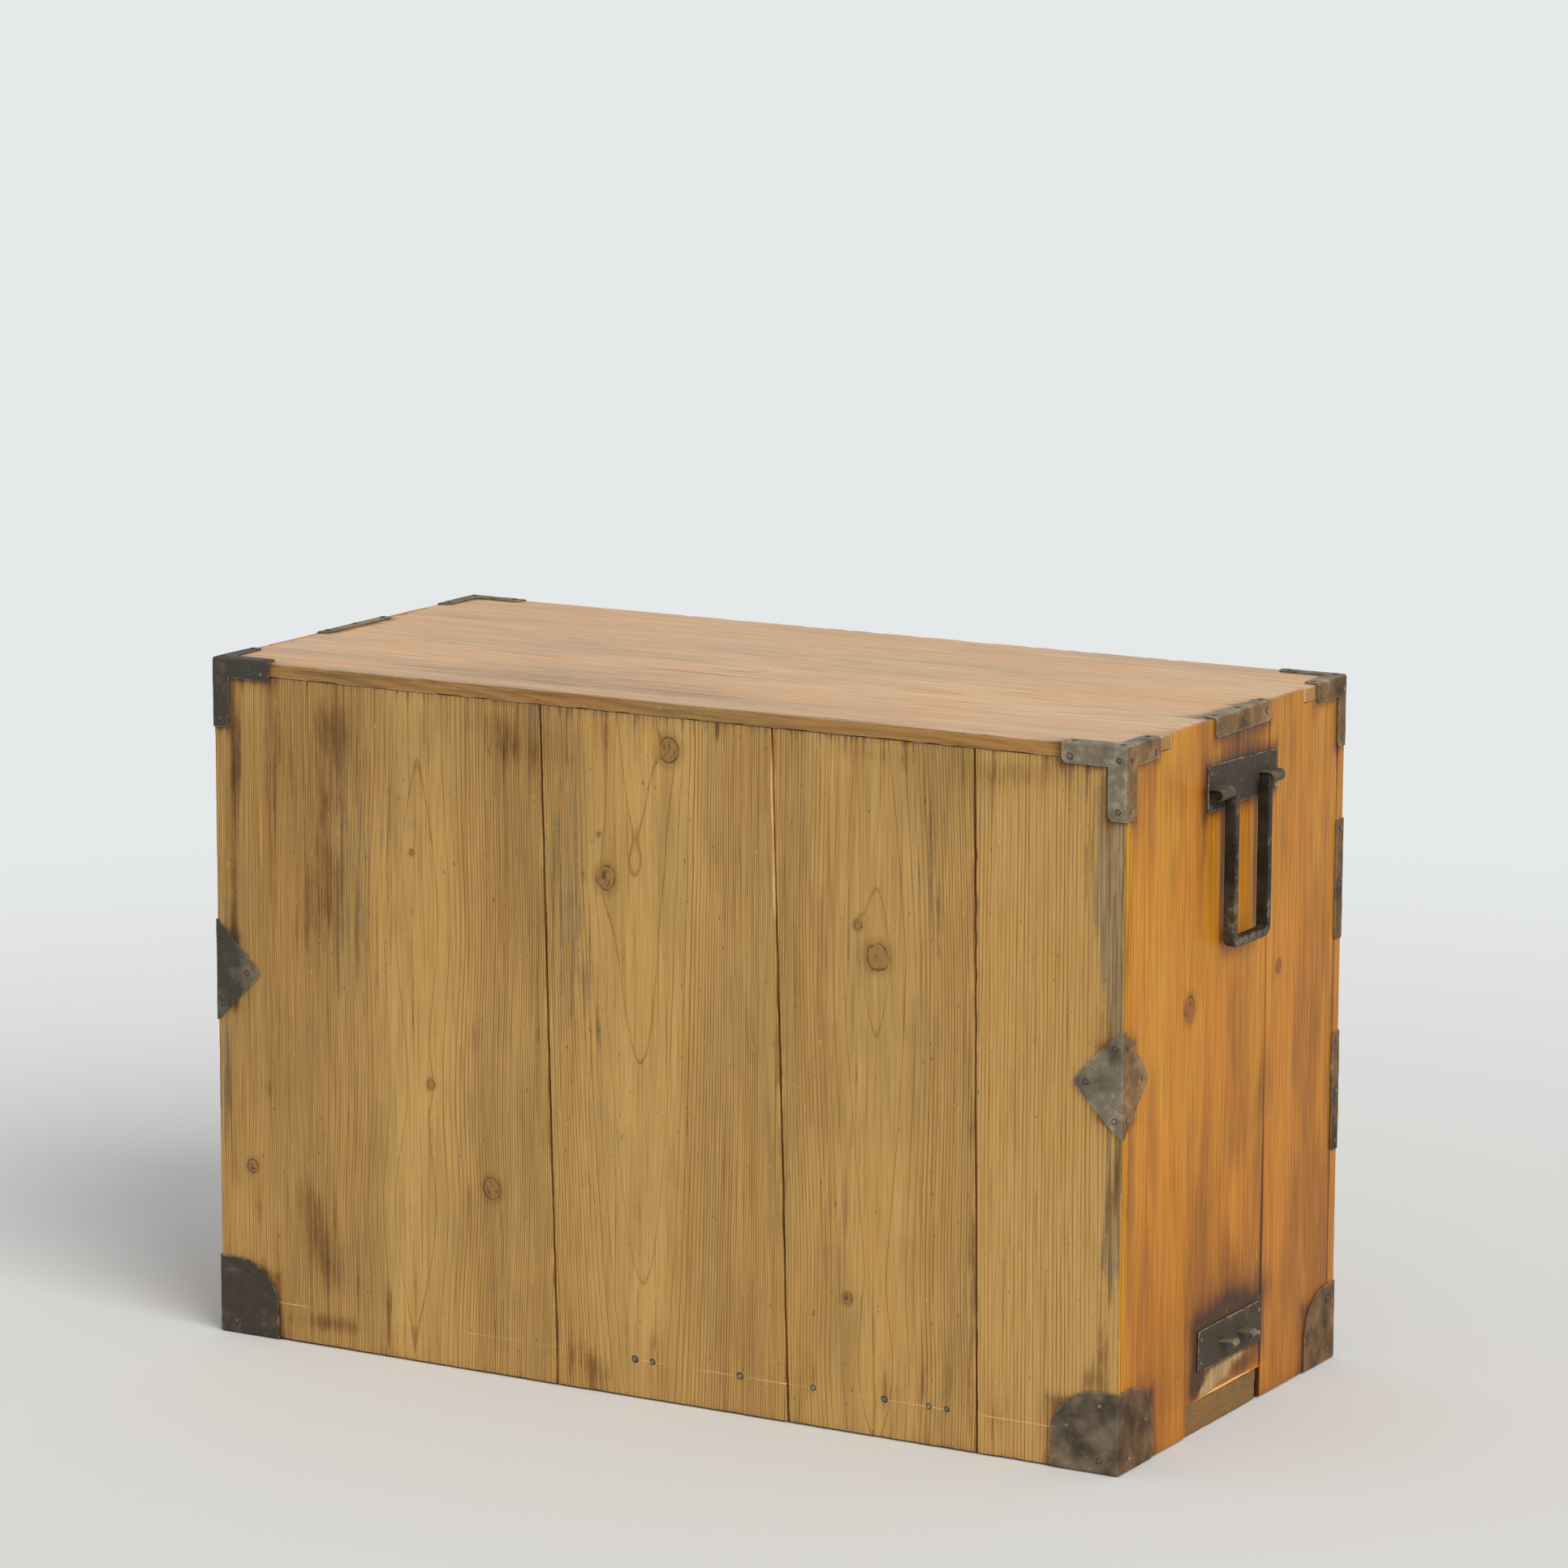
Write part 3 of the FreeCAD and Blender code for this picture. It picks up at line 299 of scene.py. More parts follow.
def wood(name, along, across, early, shade, late, deep, silver, figure=0.6, gloss=0.6,
         streaky=1.0, relief=0.25, soak=(0.97, 0.72, 0.13), ruddy=0.8, vary=1.0, line=1.5):
    """Softwood. Each growth ring runs from pale early wood to a darker late line and breaks
    off sharply; fibres, streaks and bands are noise drawn out along the grain, scratches are
    noise drawn out across it. shade is the colour of the darker bands. The marks rings, gap,
    knot, grime, silver, tone and oil lie on the mesh; silver below -1.3 is freshly bared wood.
    figure is the strength of the rings, line the width of their late wood where they are far
    apart, in millimetres, streaky how much dirt follows the fibres, relief the height of the
    late lines in millimetres, ruddy how much redder some stretches are, vary how strong the
    bands are, and soak what the colour is multiplied by where oil or dirt has soaked an edge."""
    (add, maths, plus, times, ease, mark), (place, noise, about, coats, oiled, dress) = \
        shader(name)
    early, shade, late, deep, silver = map(np.array, (early, shade, late, deep, silver))

    def fibres(size, draw, detail, rough=0.6, way=along, turn=0.0):
        scale, angle = [1.0, 1.0, 1.0], [0.0, 0.0, 0.0]
        scale[way] = 1.0 / draw
        angle[3 - along - across] = turn
        drawn = add("Mapping", {"Vector": place, "Scale": scale, "Rotation": angle},
                    vector_type="TEXTURE" if turn else "POINT").outputs[0]
        return noise(size, detail, rough, drawn)

    hair, streak, band = fibres(1.4, 60, 3, 0.65), fibres(3.4, 42, 3), fibres(30, 9, 3)
    patch, cloud, flush = fibres(11, 2.6, 5, 0.68), fibres(80, 1.6, 3), fibres(52, 5, 2)
    speck, fleck, smudge = fibres(3.4, 2.5, 2), fibres(2.0, 6, 2), fibres(15, 4.5, 5, 0.7)
    gap = mark("gap")
    waver = maths("DIVIDE", about(fibres(9, 30, 2), 1.1), maths("MAXIMUM", gap, 2.6))
    rings = plus(mark("rings"), waver)
    part = maths("FRACT", rings)
    to_end = times(maths("SUBTRACT", 1.0, part), gap)
    late_line = times(ease(to_end, line, 0.3 * line), ease(to_end, 0.0, 0.1))
    number = add("TexWhiteNoise", {"W": maths("FLOOR", rings)},
                 noise_dimensions="1D").outputs["Value"]
    strength = times(ease(number, 0.0, 1.0, 0.4, 1.0), figure)
    slow = times(ease(part, 0.0, 0.9), ease(gap, 9.0, 2.5, 0.05, 0.2))
    depth = plus(mark("tone"), about(band, 1.5 * vary), about(cloud, vary))
    loose = times(plus(about(streak, 1.9), about(patch, 1.3)), streaky)
    grey = ease(plus(mark("silver"), loose), 0.28, 0.85, 0.0, 0.92)
    fresh = plus(mark("silver"), about(patch, 1.4))
    knot = plus(mark("knot"), about(fibres(9, 1.3, 3), 0.5))
    circle = ease(maths("FRACT", times(knot, 4.5)), 0.5, 0.95)
    rim = times(ease(knot, 0.86, 1.0), ease(knot, 1.2, 1.04))
    ragged = plus(about(smudge, 1.9), about(streak, 1.5), about(hair, 0.9))
    dirt = plus(mark("grime"), times(ragged, 0.9 * streaky))
    scratch = maths("MAXIMUM", ease(fibres(1.6, 45, 1, 0.5, across, 0.22), 0.74, 0.8),
                    ease(fibres(1.8, 30, 1, 0.5, across, -0.5), 0.75, 0.81))
    brown, pale = (3 * late + deep) / 4, np.minimum(1, early * 1.45 + 0.03)
    colour = coats(
        tint(*early), (ease(depth, -0.4, 0.5), shade),
        (ease(flush, 0.4, 0.62, 0.0, ruddy), early * (1.02, 0.86, 0.72)), (grey, silver),
        (times(grey, ease(streak, 0.46, 0.62, 0.0, 0.7)), (2 * deep + silver) / 3),
        (times(slow, strength), late), (times(late_line, strength), late),
        (ease(streak, 0.52, 0.72, 0.0, 0.34), late), (ease(hair, 0.5, 0.7, 0.0, 0.45), late),
        (ease(hair, 0.5, 0.3, 0.0, 0.42), np.minimum(1, early * 1.22)),
        (ease(knot, 0.1, 0.95, 0.0, 0.42), late),
        (ease(knot, 0.98, 1.08, 0.0, 0.75), (2 * shade + late) / 3),
        (times(circle, ease(knot, 1.05, 1.2, 0.0, 0.5)), late),
        (times(rim, ease(patch, 0.42, 0.56, 0.2, 0.9)), (late + 3 * deep) / 4),
        (times(ease(knot, 1.15, 1.5), ease(speck, 0.54, 0.62, 0.0, 0.7)), deep),
        (ease(mark("grime"), 0.0, 1.0, 0.0, 0.75 - 0.3 * streaky), brown),
        (ease(dirt, 0.3, 0.8, 0.0, 0.72), brown), (ease(dirt, 0.62, 1.25, 0.0, 0.88), deep),
        (ease(fresh, -1.3, -2.2, 0.0, 0.85), np.minimum(1, 0.6 * pale + 0.9 * silver)))
    colour = coats(
        oiled(colour, soak), (times(scratch, 0.55), pale),
        (ease(speck, 0.7, 0.78, 0.0, 0.6), deep), (ease(fleck, 0.7, 0.8, 0.0, 0.55), pale))
    height = plus(plus(times(late_line, 0.5), times(hair, 0.7)), times(times(patch, grey), 0.8))
    height = maths("SUBTRACT", height, plus(ease(speck, 0.7, 0.78), rim))
    rough = ease(plus(hair, times(grey, 0.5)), 0.3, 1.0, gloss - 0.06, gloss + 0.2)
    return dress(colour, rough, height, relief, 0.2)


def beside(points, low, high):
    """Distance from each point to a box."""
    return np.linalg.norm(np.maximum(0, np.maximum(low - points, points - high)), axis=1)


def blots(points, spots):
    """Soft patches: each spot is a middle, a half size along x, y and z, and a strength, and
    fades as exp(-d^2)."""
    total = np.zeros(len(points))
    for middle, size, strength in spots:
        d = (points - np.array(middle, float)) / np.array(size, float)
        total += strength * np.exp(-(d ** 2).sum(axis=1))
    return total


def on_face(axis, level, through, *rows):
    """Patches on a face that looks along axis and stands at level. A row is the middle and the
    half size along the face's own two axes, and the strength; through is the half size along
    the third."""
    spots = []
    for u, v, half_u, half_v, strength in rows:
        middle, size = [u, v], [half_u, half_v]
        middle.insert(axis, level)
        size.insert(axis, through)
        spots.append((middle, size, strength))
    return spots


# Where iron lies on the case, as boxes in |x|, y, z: wood is dark round it.
side_face, rear_face = box_mm("right_front_stile")[1][X], box_mm("back_board_1")[1][Y]
shoe_low, shoe_high = box_mm("bottom_corner_iron_back_right")
corner_low, corner_high = box_mm("top_corner_iron_back_right")
diamond_low, diamond_high = box_mm("diamond_irons")
strap_low, strap_high = box_mm("top_edge_straps")
handle_low, handle_high = box_mm("right_handle_plate")
hook_low, hook_high = box_mm("right_hook_plate")
CORNER_BAND, CORNER_LID = 18, 15
corner_arm, corner_drop = (corner_high - corner_low)[[X, Z]]
out_x, out_y, out_z = corner_high
STAINED = [
    ((shoe_low[X], shoe_low[Y], 0), (out_x, out_y, shoe_high[Z] - 12)),
    ((out_x - 3, -out_y, 0), (out_x, -shoe_low[Y], shoe_high[Z] - 12)),
    ((shoe_low[X], -out_y, 0), (out_x, 3 - out_y, 36)),
    ((corner_low[X], out_y - 3, out_z - CORNER_BAND), (out_x, out_y, out_z)),
    ((out_x - 3, corner_low[Y], out_z - CORNER_BAND), (out_x, out_y, out_z)),
    ((out_x - 3, -out_y, out_z - CORNER_BAND), (out_x, -corner_low[Y], out_z)),
    ((out_x - CORNER_BAND, out_y - CORNER_BAND, corner_low[Z]), (out_x, out_y, out_z)),
    ((out_x - CORNER_BAND, -out_y, corner_low[Z]), (out_x, CORNER_BAND - out_y, out_z)),
    ((out_x - 22, diamond_high[Y] - 22, diamond_low[Z] + 14),
     (out_x, out_y, diamond_high[Z] - 14)),
    ((out_x - CORNER_LID, strap_low[Y], strap_low[Z]), (out_x, strap_high[Y], out_z)),
    (tuple(handle_low), tuple(handle_high)),
    (tuple(hook_low), (out_x, hook_high[Y], hook_high[Z])),
]
STAIN = 0.8


def grime(points, reach=7.0):
    """Dark stain round the irons, fading with distance, and in the foot of the case."""
    mirrored = np.abs(points * (1, 0, 0)) + points * (0, 1, 1)
    total = np.zeros(len(points))
    for low, high in STAINED:
        away = beside(mirrored, np.array(low), np.array(high))
        total = np.maximum(total, STAIN * np.exp(-away / reach))
    return total + 0.3 * np.exp(-points[:, Z] / 9)


def board(name, boxes, along, face, cell, finish, nodes, body="case", cuts=(), grain=None,
          shape=None, spots=(), greys=(), torn=(), tones=(), tone=0.0, soaked=(), lines=(),
          wear=0.6, edge=0.7, seed=1):
    """One board, or several alike: the skin of a lattice that fills the boxes, less the cuts.
    The faces sink by a smooth field of up to half a millimetre, sharp edges by up to wear, and
    torn patches by a fibrous field as well. Its marks are the growth rings, knots, dark stain,
    greyed wood, tone and oil, which lies on faces that look along the soaked directions; lines
    are scribed across it."""
    lows, highs = (np.array(ends) for ends in zip(*boxes))
    marks = [sorted({float(v) for pair in (*boxes, *cuts) for v in (pair[0][i], pair[1][i])})
             for i in (X, Y, Z)]
    marks[along] += [line + shift for line in lines for shift in (-0.9, 0.0, 0.9)]
    marks[face] += [lows[:, face].min() + 1, highs[:, face].max() - 1]
    steps = [cell, cell, cell]
    steps[face] = 4.0
    grid = [planes(lows[:, i].min(), highs[:, i].max(), steps[i], marks[i]) for i in (X, Y, Z)]
    middle = centres(grid)
    points, faces = skin(grid, within(middle, boxes) & ~within(middle, cuts))
    if shape:
        points = shape(points)
    normals, sharp = outward(points, faces)
    settings = {"pith": (0, -40), "width": 2.6, "seed": seed, **(grain or {})}
    rings, knot, gap = growth(points, along, face, **settings)
    stretch = np.full(3, 70.0)
    stretch[along] = 260.0
    sink = 0.16 * (1 + drift(points, stretch, seed + 20, 2))
    chip = np.clip(drift(points, (14, 14, 14), seed + 30, 2) - 0.1, 0, 1)
    sink = np.clip(sink, 0, 0.5) + np.clip(sharp * 4, 0, 1) * wear * (0.15 + chip)
    rip = blots(points, torn)
    splinters = np.full(3, 3.5)
    splinters[along] = 17.0
    sink += np.clip(rip * (0.5 + 0.7 * drift(points, splinters, seed + 40, 2)), 0, 1.4)
    stain = blots(points, spots) + (grime(points) if body == "case" else 0)
    worn = blots(points, greys) + 0.8 * rip + 0.3 * np.clip(sharp * 4, 0, 1)
    oil = np.zeros(len(points))
    for direction in soaked:
        oil = np.maximum(oil, np.clip((normals @ np.array(direction, float) - 0.72) * 8, 0, 1))
    worn -= 0.9 * oil
    for line in lines:
        scribed = np.clip(1 - np.abs(points[:, along] - line) / 0.8, 0, 1)
        worn -= scribed * (1.9 + 0.9 * drift(points, (30, 30, 30), seed + 50))
    return put(name, points - normals * sink[:, None], faces, finish, body, nodes,
               {"rings": rings, "gap": gap, "knot": knot, "grime": stain, "silver": worn,
                "tone": tone + blots(points, tones), "oil": oil}, edge)


DEEP_BROWN, PLANED_GREY = (0.055, 0.032, 0.014), (0.46, 0.39, 0.27)
inner_wood = wood("planed softwood", X, Y, (0.60, 0.42, 0.22), (0.52, 0.34, 0.16),
                  (0.36, 0.20, 0.08), DEEP_BROWN, PLANED_GREY, gloss=0.68)
cross_wood = wood("planed softwood, runners", Y, Z, (0.58, 0.40, 0.20), (0.50, 0.32, 0.15),
                  (0.35, 0.19, 0.075), DEEP_BROWN, PLANED_GREY, gloss=0.68)
aged_wood = wood("brown batten", X, Y, (0.25, 0.14, 0.048), (0.17, 0.092, 0.03),
                 (0.09, 0.048, 0.018), DEEP_BROWN, (0.32, 0.24, 0.14), gloss=0.62, relief=0.4)

board("case_floor", [box_mm("base_board")], X, Z, 9, inner_wood, ["base_board"],
      grain={"pith": (30, -60), "width": 4.5}, seed=11)
board("floor_batten", [box_mm("base_batten")], X, Z, 7, aged_wood, ["base_batten"],
      grain={"pith": (10, -300), "width": 2.2}, wear=1.2, seed=12)
runner_lines = [float(v) for v in np.unique(
    [round(v.co.z * 1000, 1) for v in frame["nodes"]["drawer_runners"].data.vertices])]
runner_low, runner_high = box_mm("drawer_runners")
RUNNER_WIDTH = 20
runner_boxes = []
for foot, head in zip(runner_lines[::2], runner_lines[1::2]):
    for near, far in ((runner_low[X], runner_low[X] + RUNNER_WIDTH),
                      (runner_high[X] - RUNNER_WIDTH, runner_high[X])):
        runner_boxes.append(((near, runner_low[Y], foot), (far, runner_high[Y], head)))
board("runners", runner_boxes, Y, Z, 9, cross_wood, ["drawer_runners"],
      grain={"pith": (0, -40), "width": 3.5}, seed=13)

# ------------------------------------------------------------------ sides
# Each side is two upright boards with their own figure, brown from old oil and hands. Their
# tongues rise beside the ends of the top, a notch at the foot lets the batten through, and a
# facing strip is glued to the front edge.

side_wood = wood("oiled side boards", Z, Y, (0.60, 0.265, 0.014), (0.33, 0.115, 0.004),
                 (0.24, 0.066, 0.002), (0.035, 0.016, 0.006), (0.47, 0.37, 0.20), figure=0.55,
                 gloss=0.42, streaky=0.55, relief=0.12, soak=(0.7, 0.6, 0.6), vary=1.25)
front_wood_upright = wood("oiled stiles", Z, X, (0.52, 0.225, 0.025), (0.40, 0.15, 0.012),
                          (0.26, 0.08, 0.006), (0.04, 0.018, 0.007), (0.44, 0.32, 0.15),
                          figure=0.5, gloss=0.44, streaky=0.7, relief=0.12)

TONGUE = 4.5
FINGER_HALF, FINGER_END, PAST = 42, 126, 400
batten_high = box_mm("base_batten")[1]
top_low, top_high = box_mm("top_board")
for hand, sign in (("left", -1), ("right", 1)):
    for end in ("rear", "front"):
        node = f"{hand}_side_{end}_board"
        low, high = box_mm(node)
        inner = (low[X] + TONGUE, high[X]) if sign < 0 else (low[X], high[X] - TONGUE)
        gaps = [(-FINGER_HALF, FINGER_HALF), (FINGER_END, PAST), (-PAST, -FINGER_END)]
        cuts = [((low[X] - 1, a, top_low[Z]), (high[X] + 1, b, high[Z] + 1)) for a, b in gaps]
        cuts.append(((inner[0], -PAST, top_low[Z]), (inner[1], PAST, high[Z] + 1)))
        if end == "rear":
            cuts.append(((low[X] - 1, -PAST, low[Z] - 1),
                         (high[X] + 1, batten_high[Y], batten_high[Z])))
        x = sign * side_face
        joint, notch = box_mm(f"{hand}_side_rear_board")[0][Y], batten_high[Z] + 0.4
        spots = on_face(
            X, x, 30,
            (joint, 60, 1.4, 200, 0.7), (joint, 430, 1.4, 260, 0.25),
            (joint + 5, 200, 9, 240, 0.24), (3, 96, 64, 16, 0.62), (66, 66, 9, 34, 0.55),
            (66, 40, 14, 18, 0.6), (-4, 574, 54, 15, 0.55), (66, 535, 9, 50, 0.5),
            (30, 480, 5, 90, 0.4), (-195, 300, 1.3, 900, 0.7), (207, 300, 4, 900, 0.55),
            (4, 470, 46, 110, 0.34), (-62, 278, 26, 34, 0.36), (-8, 240, 30, 26, 0.3),
            (-70, 200, 20, 60, 0.2), (10, 100, 60, 60, 0.42), (196, 420, 6, 200, 0.3),
            (60, 330, 8, 140, 0.16), (172, 120, 14, 90, 0.2), (-206, 300, 10, 300, 0.18),
            (-22, 38, 28, 6, 0.45), (58, 46, 9, 9, 0.7), (0, 60, 400, 120, 0.28),
            (-190, 200, 22, 220, 0.2), (18, 44, 22, 6, -1.1), (-16, 49, 18, 3, -0.9),
            # The last row, at the notch's level, takes the stain away under the painted highlight
            # drawn there.
            (46, 34, 14, 4, -0.8), (10, notch, 60, 1.5, -1.2))
        greys = on_face(
            X, x, 6,
            (20, 43, 21, 6.5, 2.4), (-16, 48, 18, 3.6, 2.2), (46, 34, 14, 4, 2.0),
            # The last row, at the notch's level, is a painted highlight: a thin line of freshly
            # bared colour along the edge over the notch, standing for the batten's top catching the
            # light.
            (-43, 45, 6, 4, 1.0), (10, notch, 60, 1.3, -6))
        torn = on_face(X, x, 4,
                       (14, 42, 24, 7, 1.2), (46, 33, 12, 6, 0.9))
        tones = on_face(
            X, x, 30,
            (120, 420, 60, 160, -0.25), (-130, 470, 50, 110, -0.2), (30, 300, 26, 300, 0.25),
            (0, 40, 300, 170, 0.95), (-150, 280, 60, 300, 0.55), (80, 560, 120, 30, 0.2))
        knots = [(87, 368, 9.5)] if end == "rear" else [(-84, 373, 5)]
        grain = {"pith": (250, sign * 345) if end == "rear" else (-300, sign * 350), "width": 2.7,
                 "slope": 0.01, "lean": 0.006, "knots": knots, "seed": 31 + sign}
        board(f"{hand}_side_{end}", [(low, high)], Z, X, 3.4, side_wood, [node],
              cuts=cuts, grain=grain, spots=spots, greys=greys, torn=torn, tones=tones,
              wear=0.35, edge=0.35, seed=40 + sign)
    node = f"{hand}_front_stile"
    board(f"{hand}_stile", [box_mm(node)], Z, Y, 5, front_wood_upright, [node],
          grain={"pith": (sign * 430, 120), "width": 2.8}, tone=0.4, seed=50 + sign,
          spots=[((sign * side_face, -195, 300), (30, 1.3, 900), 0.8)])

# ------------------------------------------------------------------ back
# Four upright boards nailed over the rear edges, never oiled: khaki, greyed at the top and
# along the edges, with late lines standing proud. Their joints slant a little and have opened.

back_wood = wood("weathered back boards", Z, X, (0.61, 0.37, 0.118), (0.42, 0.252, 0.08),
                 (0.25, 0.108, 0.027), (0.055, 0.037, 0.018), (0.33, 0.25, 0.135), figure=0.85,
                 gloss=0.66, relief=0.3, ruddy=0.35, line=1.3)


def slanted(node, seed):
    """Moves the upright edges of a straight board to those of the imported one, which slant, and
    lets them waver by up to 0.5 mm inwards: x is carried from one pair of edges to the other
    in proportion."""
    corner = np.array([v.co for v in frame["nodes"][node].data.vertices]) * 1000
    low, high = corner.min(axis=0), corner.max(axis=0)
    ends = []
    for level in (low[Z], high[Z]):
        row = corner[np.abs(corner[:, Z] - level) < 0.1][:, X]
        ends.append((row.min(), row.max()))

    def shape(points):
        t = (points[:, Z] - low[Z]) / (high[Z] - low[Z])
        u = (points[:, X] - low[X]) / (high[X] - low[X])
        column = points * (0, 0, 1)
        left = ends[0][0] + t * (ends[1][0] - ends[0][0])
        right = ends[0][1] + t * (ends[1][1] - ends[0][1])
        left = left + 0.2 * (1 + drift(column, (200, 200, 230), seed, 2))
        right = right - 0.2 * (1 + drift(column, (200, 200, 260), seed + 5, 2))
        cup = 0.5 * (2 * u - 1) ** 2 * (points[:, Y] > (low[Y] + high[Y]) / 2)
        return np.stack([left + u * (right - left), points[:, Y] - 0.5 + cup, points[:, Z]], -1)

    return shape


BACK = {
    1: dict(pith=(240, 149), width=2.1, lean=-0.012, wave=1.4, shift=0.08, seed=61,
            swells=[(394, 88, 4.2), (137, 64, 4.0)],
            knots=[(160, 165, 8.5), (409, 154, 5.5), (240, 452, 2.4), (222, 250, 4)]),
    2: dict(pith=(8, 149), width=2.1, slope=0.045, lean=0.012, wave=1.2, shift=2.66, seed=62,
            swells=[(462, 20, 1.2)], knots=[(-17, 564, 9.5), (45, 449.5, 9), (52, 486, 2)]),
    3: dict(pith=(-219, 149), width=2.2, lean=0.014, wave=1.4, shift=0.1, seed=66,
            swells=[(400, 190, 7.2), (60, 50, 2.5)],
            knots=[(-216.7, 409.4, 10), (-198, 435, 4), (-190, 116, 4.5)]),
    4: dict(pith=(-640, 60), width=3.1, slope=0.004, seed=68),
}
BACK_SPOTS = on_face(
    Y, rear_face, 20,
    (434, 222, 7, 44, 0.62), (427, 150, 6, 26, 0.6), (404, 118, 5, 46, 0.45),
    (389, 226, 7, 14, 0.45), (421, 520, 6, 46, 0.75), (424, 450, 4, 90, 0.7),
    (426, 360, 5, 60, 0.5), (372, 535, 18, 50, 0.42), (345, 450, 44, 120, 0.26),
    (290, 520, 24, 60, 0.3), (318, 555, 20, 34, 0.5), (330, 480, 16, 90, 0.34),
    (225, 558, 9, 34, 0.42), (140, 556, 26, 28, 0.5), (100, 558, 26, 32, 0.5),
    (44, 568, 10, 26, 0.5), (180, 575, 34, 14, 0.3), (-10, 582, 60, 10, 0.3),
    (-210, 580, 70, 12, 0.34), (-350, 576, 50, 16, 0.42), (112, 330, 7, 150, 0.3),
    (-130, 500, 6, 90, 0.34), (0, 591, 440, 2.5, 0.4), (-64, 585, 3, 9, 0.8),
    (-300, 560, 60, 26, 0.26), (178, 300, 6, 24, 0.55), (350, 120, 24, 40, 0.6),
    (300, 160, 12, 110, 0.34), (328, 76, 16, 34, 0.5), (325, 22, 30, 9, 0.7),
    (268, 38, 5, 34, 0.6), (72, 30, 18, 26, 0.5), (52, 18, 12, 20, 0.5), (-1, 50, 5, 22, 0.55),
    (-226, 46, 5, 24, 0.55), (-262, 52, 5, 22, 0.5), (-158, 44, 5, 20, 0.45),
    (-285, 60, 6, 40, 0.42), (-330, 40, 24, 30, 0.28), (-300, 200, 10, 300, 0.12),
    (-306, 250, 5, 120, 0.36), (330, 400, 34, 60, 0.3), (388, 470, 8, 90, 0.36),
    (-414, 515, 3, 44, 0.5), (-428, 560, 10, 20, 0.35), (-436, 250, 8, 46, 0.6),
    (-430, 100, 9, 40, 0.42), (-415, 78, 12, 12, 0.42), (-425, 380, 8, 22, 0.34),
    (-128, 330, 6, 120, 0.18), (100, 420, 7, 60, 0.2))
BACK_GREYS = on_face(
    Y, rear_face, 20,
    (-432, 505, 17, 62, 1.35), (-437, 420, 11, 60, 1.0), (-130.5, 30, 2, 20, -2.0),
    (-117, 545, 2.6, 50, -3.4), (-119.5, 460, 2.6, 40, -3.0), (434, 240, 9, 60, 0.7),
    (-412, 572, 40, 22, 0.42), (-434, 200, 12, 60, 0.7), (-438, 330, 10, 80, 0.55),
    (118, 575, 20, 16, 0.5), (250, 480, 26, 110, 0.3), (310, 440, 30, 150, 0.55),
    (84, 480, 16, 110, 0.5), (300, 60, 60, 34, 0.3), (330, 90, 18, 50, 0.15),
    (60, 300, 30, 180, 0.28), (-120, 560, 14, 30, 0.4), (-270, 500, 24, 80, 0.34),
    (-160, 180, 40, 60, 0.2), (-300, 120, 24, 60, 0.34), (150, 160, 24, 60, 0.24),
    (430, 300, 12, 300, 0.3), (0, 588, 440, 6, 0.35))
BACK_TORN = on_face(
    Y, rear_face, 6,
    (-437, 500, 15, 66, 1.0), (-441, 400, 8, 50, 0.8), (-442, 210, 7, 60, 0.6))
BACK_TONES = on_face(
    Y, rear_face, 20,
    (345, 400, 44, 260, 0.62), (300, 560, 60, 60, 0.3), (130, 500, 22, 120, 0.4),
    (425, 400, 14, 260, 0.4), (90, 540, 20, 90, 0.3), (240, 300, 50, 160, -0.25),
    (20, 200, 60, 160, -0.1), (-160, 400, 40, 260, 0.12), (330, 60, 80, 60, 0.3),
    (-260, 560, 60, 40, 0.2))
SCRIBED = 34.0
for i in (1, 2, 3, 4):
    node = f"back_board_{i}"
    board(f"back_{i}", [box_mm(node)], Z, Y, 3.0, back_wood, [node],
          grain=BACK[i], shape=slanted(node, 70 + i), spots=BACK_SPOTS, greys=BACK_GREYS,
          torn=BACK_TORN, tones=BACK_TONES, tone=(0.08, 0.02, 0.04, -0.38)[i - 1],
          lines=[SCRIBED], wear=0.7, edge=0.6, seed=80 + i,
          soaked={1: [(1, 0, 0)], 4: [(-1, 0, 0)]}.get(i, ()))

# ------------------------------------------------------------------ top
# One wide board with its grain from side to side, paler and pinker where hands and sun have
# cleaned it. Notches at its ends hold the tongues of the sides. The rear edge is dented.

top_wood = wood("top board", X, Y, (0.68, 0.465, 0.275), (0.50, 0.33, 0.19),
                (0.36, 0.19, 0.09), (0.085, 0.05, 0.026), (0.46, 0.40, 0.31), figure=0.5,
                gloss=0.5, relief=0.14, soak=(0.66, 0.54, 0.30), line=2.4)
tongue_cuts = [
    ((near, a, top_low[Z] - 1), (far, b, top_high[Z] + 1))
    for near, far in ((top_low[X] - 1, top_low[X] + TONGUE),
                      (top_high[X] - TONGUE, top_high[X] + 1))
    for a, b in ((FINGER_HALF, FINGER_END), (-FINGER_END, -FINGER_HALF))]
LID_LEVEL, REAR_EDGE = 604, 598
TOP_SPOTS = on_face(
    Z, LID_LEVEL, 10,
    (-430, 40, 22, 70, 0.3), (-250, 195, 180, 12, 0.22), (150, 150, 150, 30, 0.22),
    (-60, 40, 220, 16, 0.24), (60, -60, 160, 12, 0.2), (300, 60, 90, 14, 0.2),
    (-200, -120, 140, 16, 0.18), (-420, 200, 60, 14, 0.4), (380, 200, 60, 10, 0.3),
    (30, 206, 430, 5, 0.35), (-240, 110, 60, 7, 0.2), (20, 0, 60, 8, 0.2),
    (90, 165, 260, 34, 0.3), (60, 120, 120, 10, 0.2))
TOP_TONES = on_face(
    Z, LID_LEVEL, 20,
    (300, 60, 200, 160, 0.35), (-340, 0, 160, 200, -0.4), (-100, -120, 260, 60, -0.05),
    (60, 150, 260, 50, 0.5))
TOP_GREYS = on_face(
    Z, LID_LEVEL, 10,
    (0, 60, 120, 40, 0.3), (-435, 120, 16, 60, 0.5), (250, -60, 140, 30, 0.25),
    (-300, 40, 100, 24, 0.2))
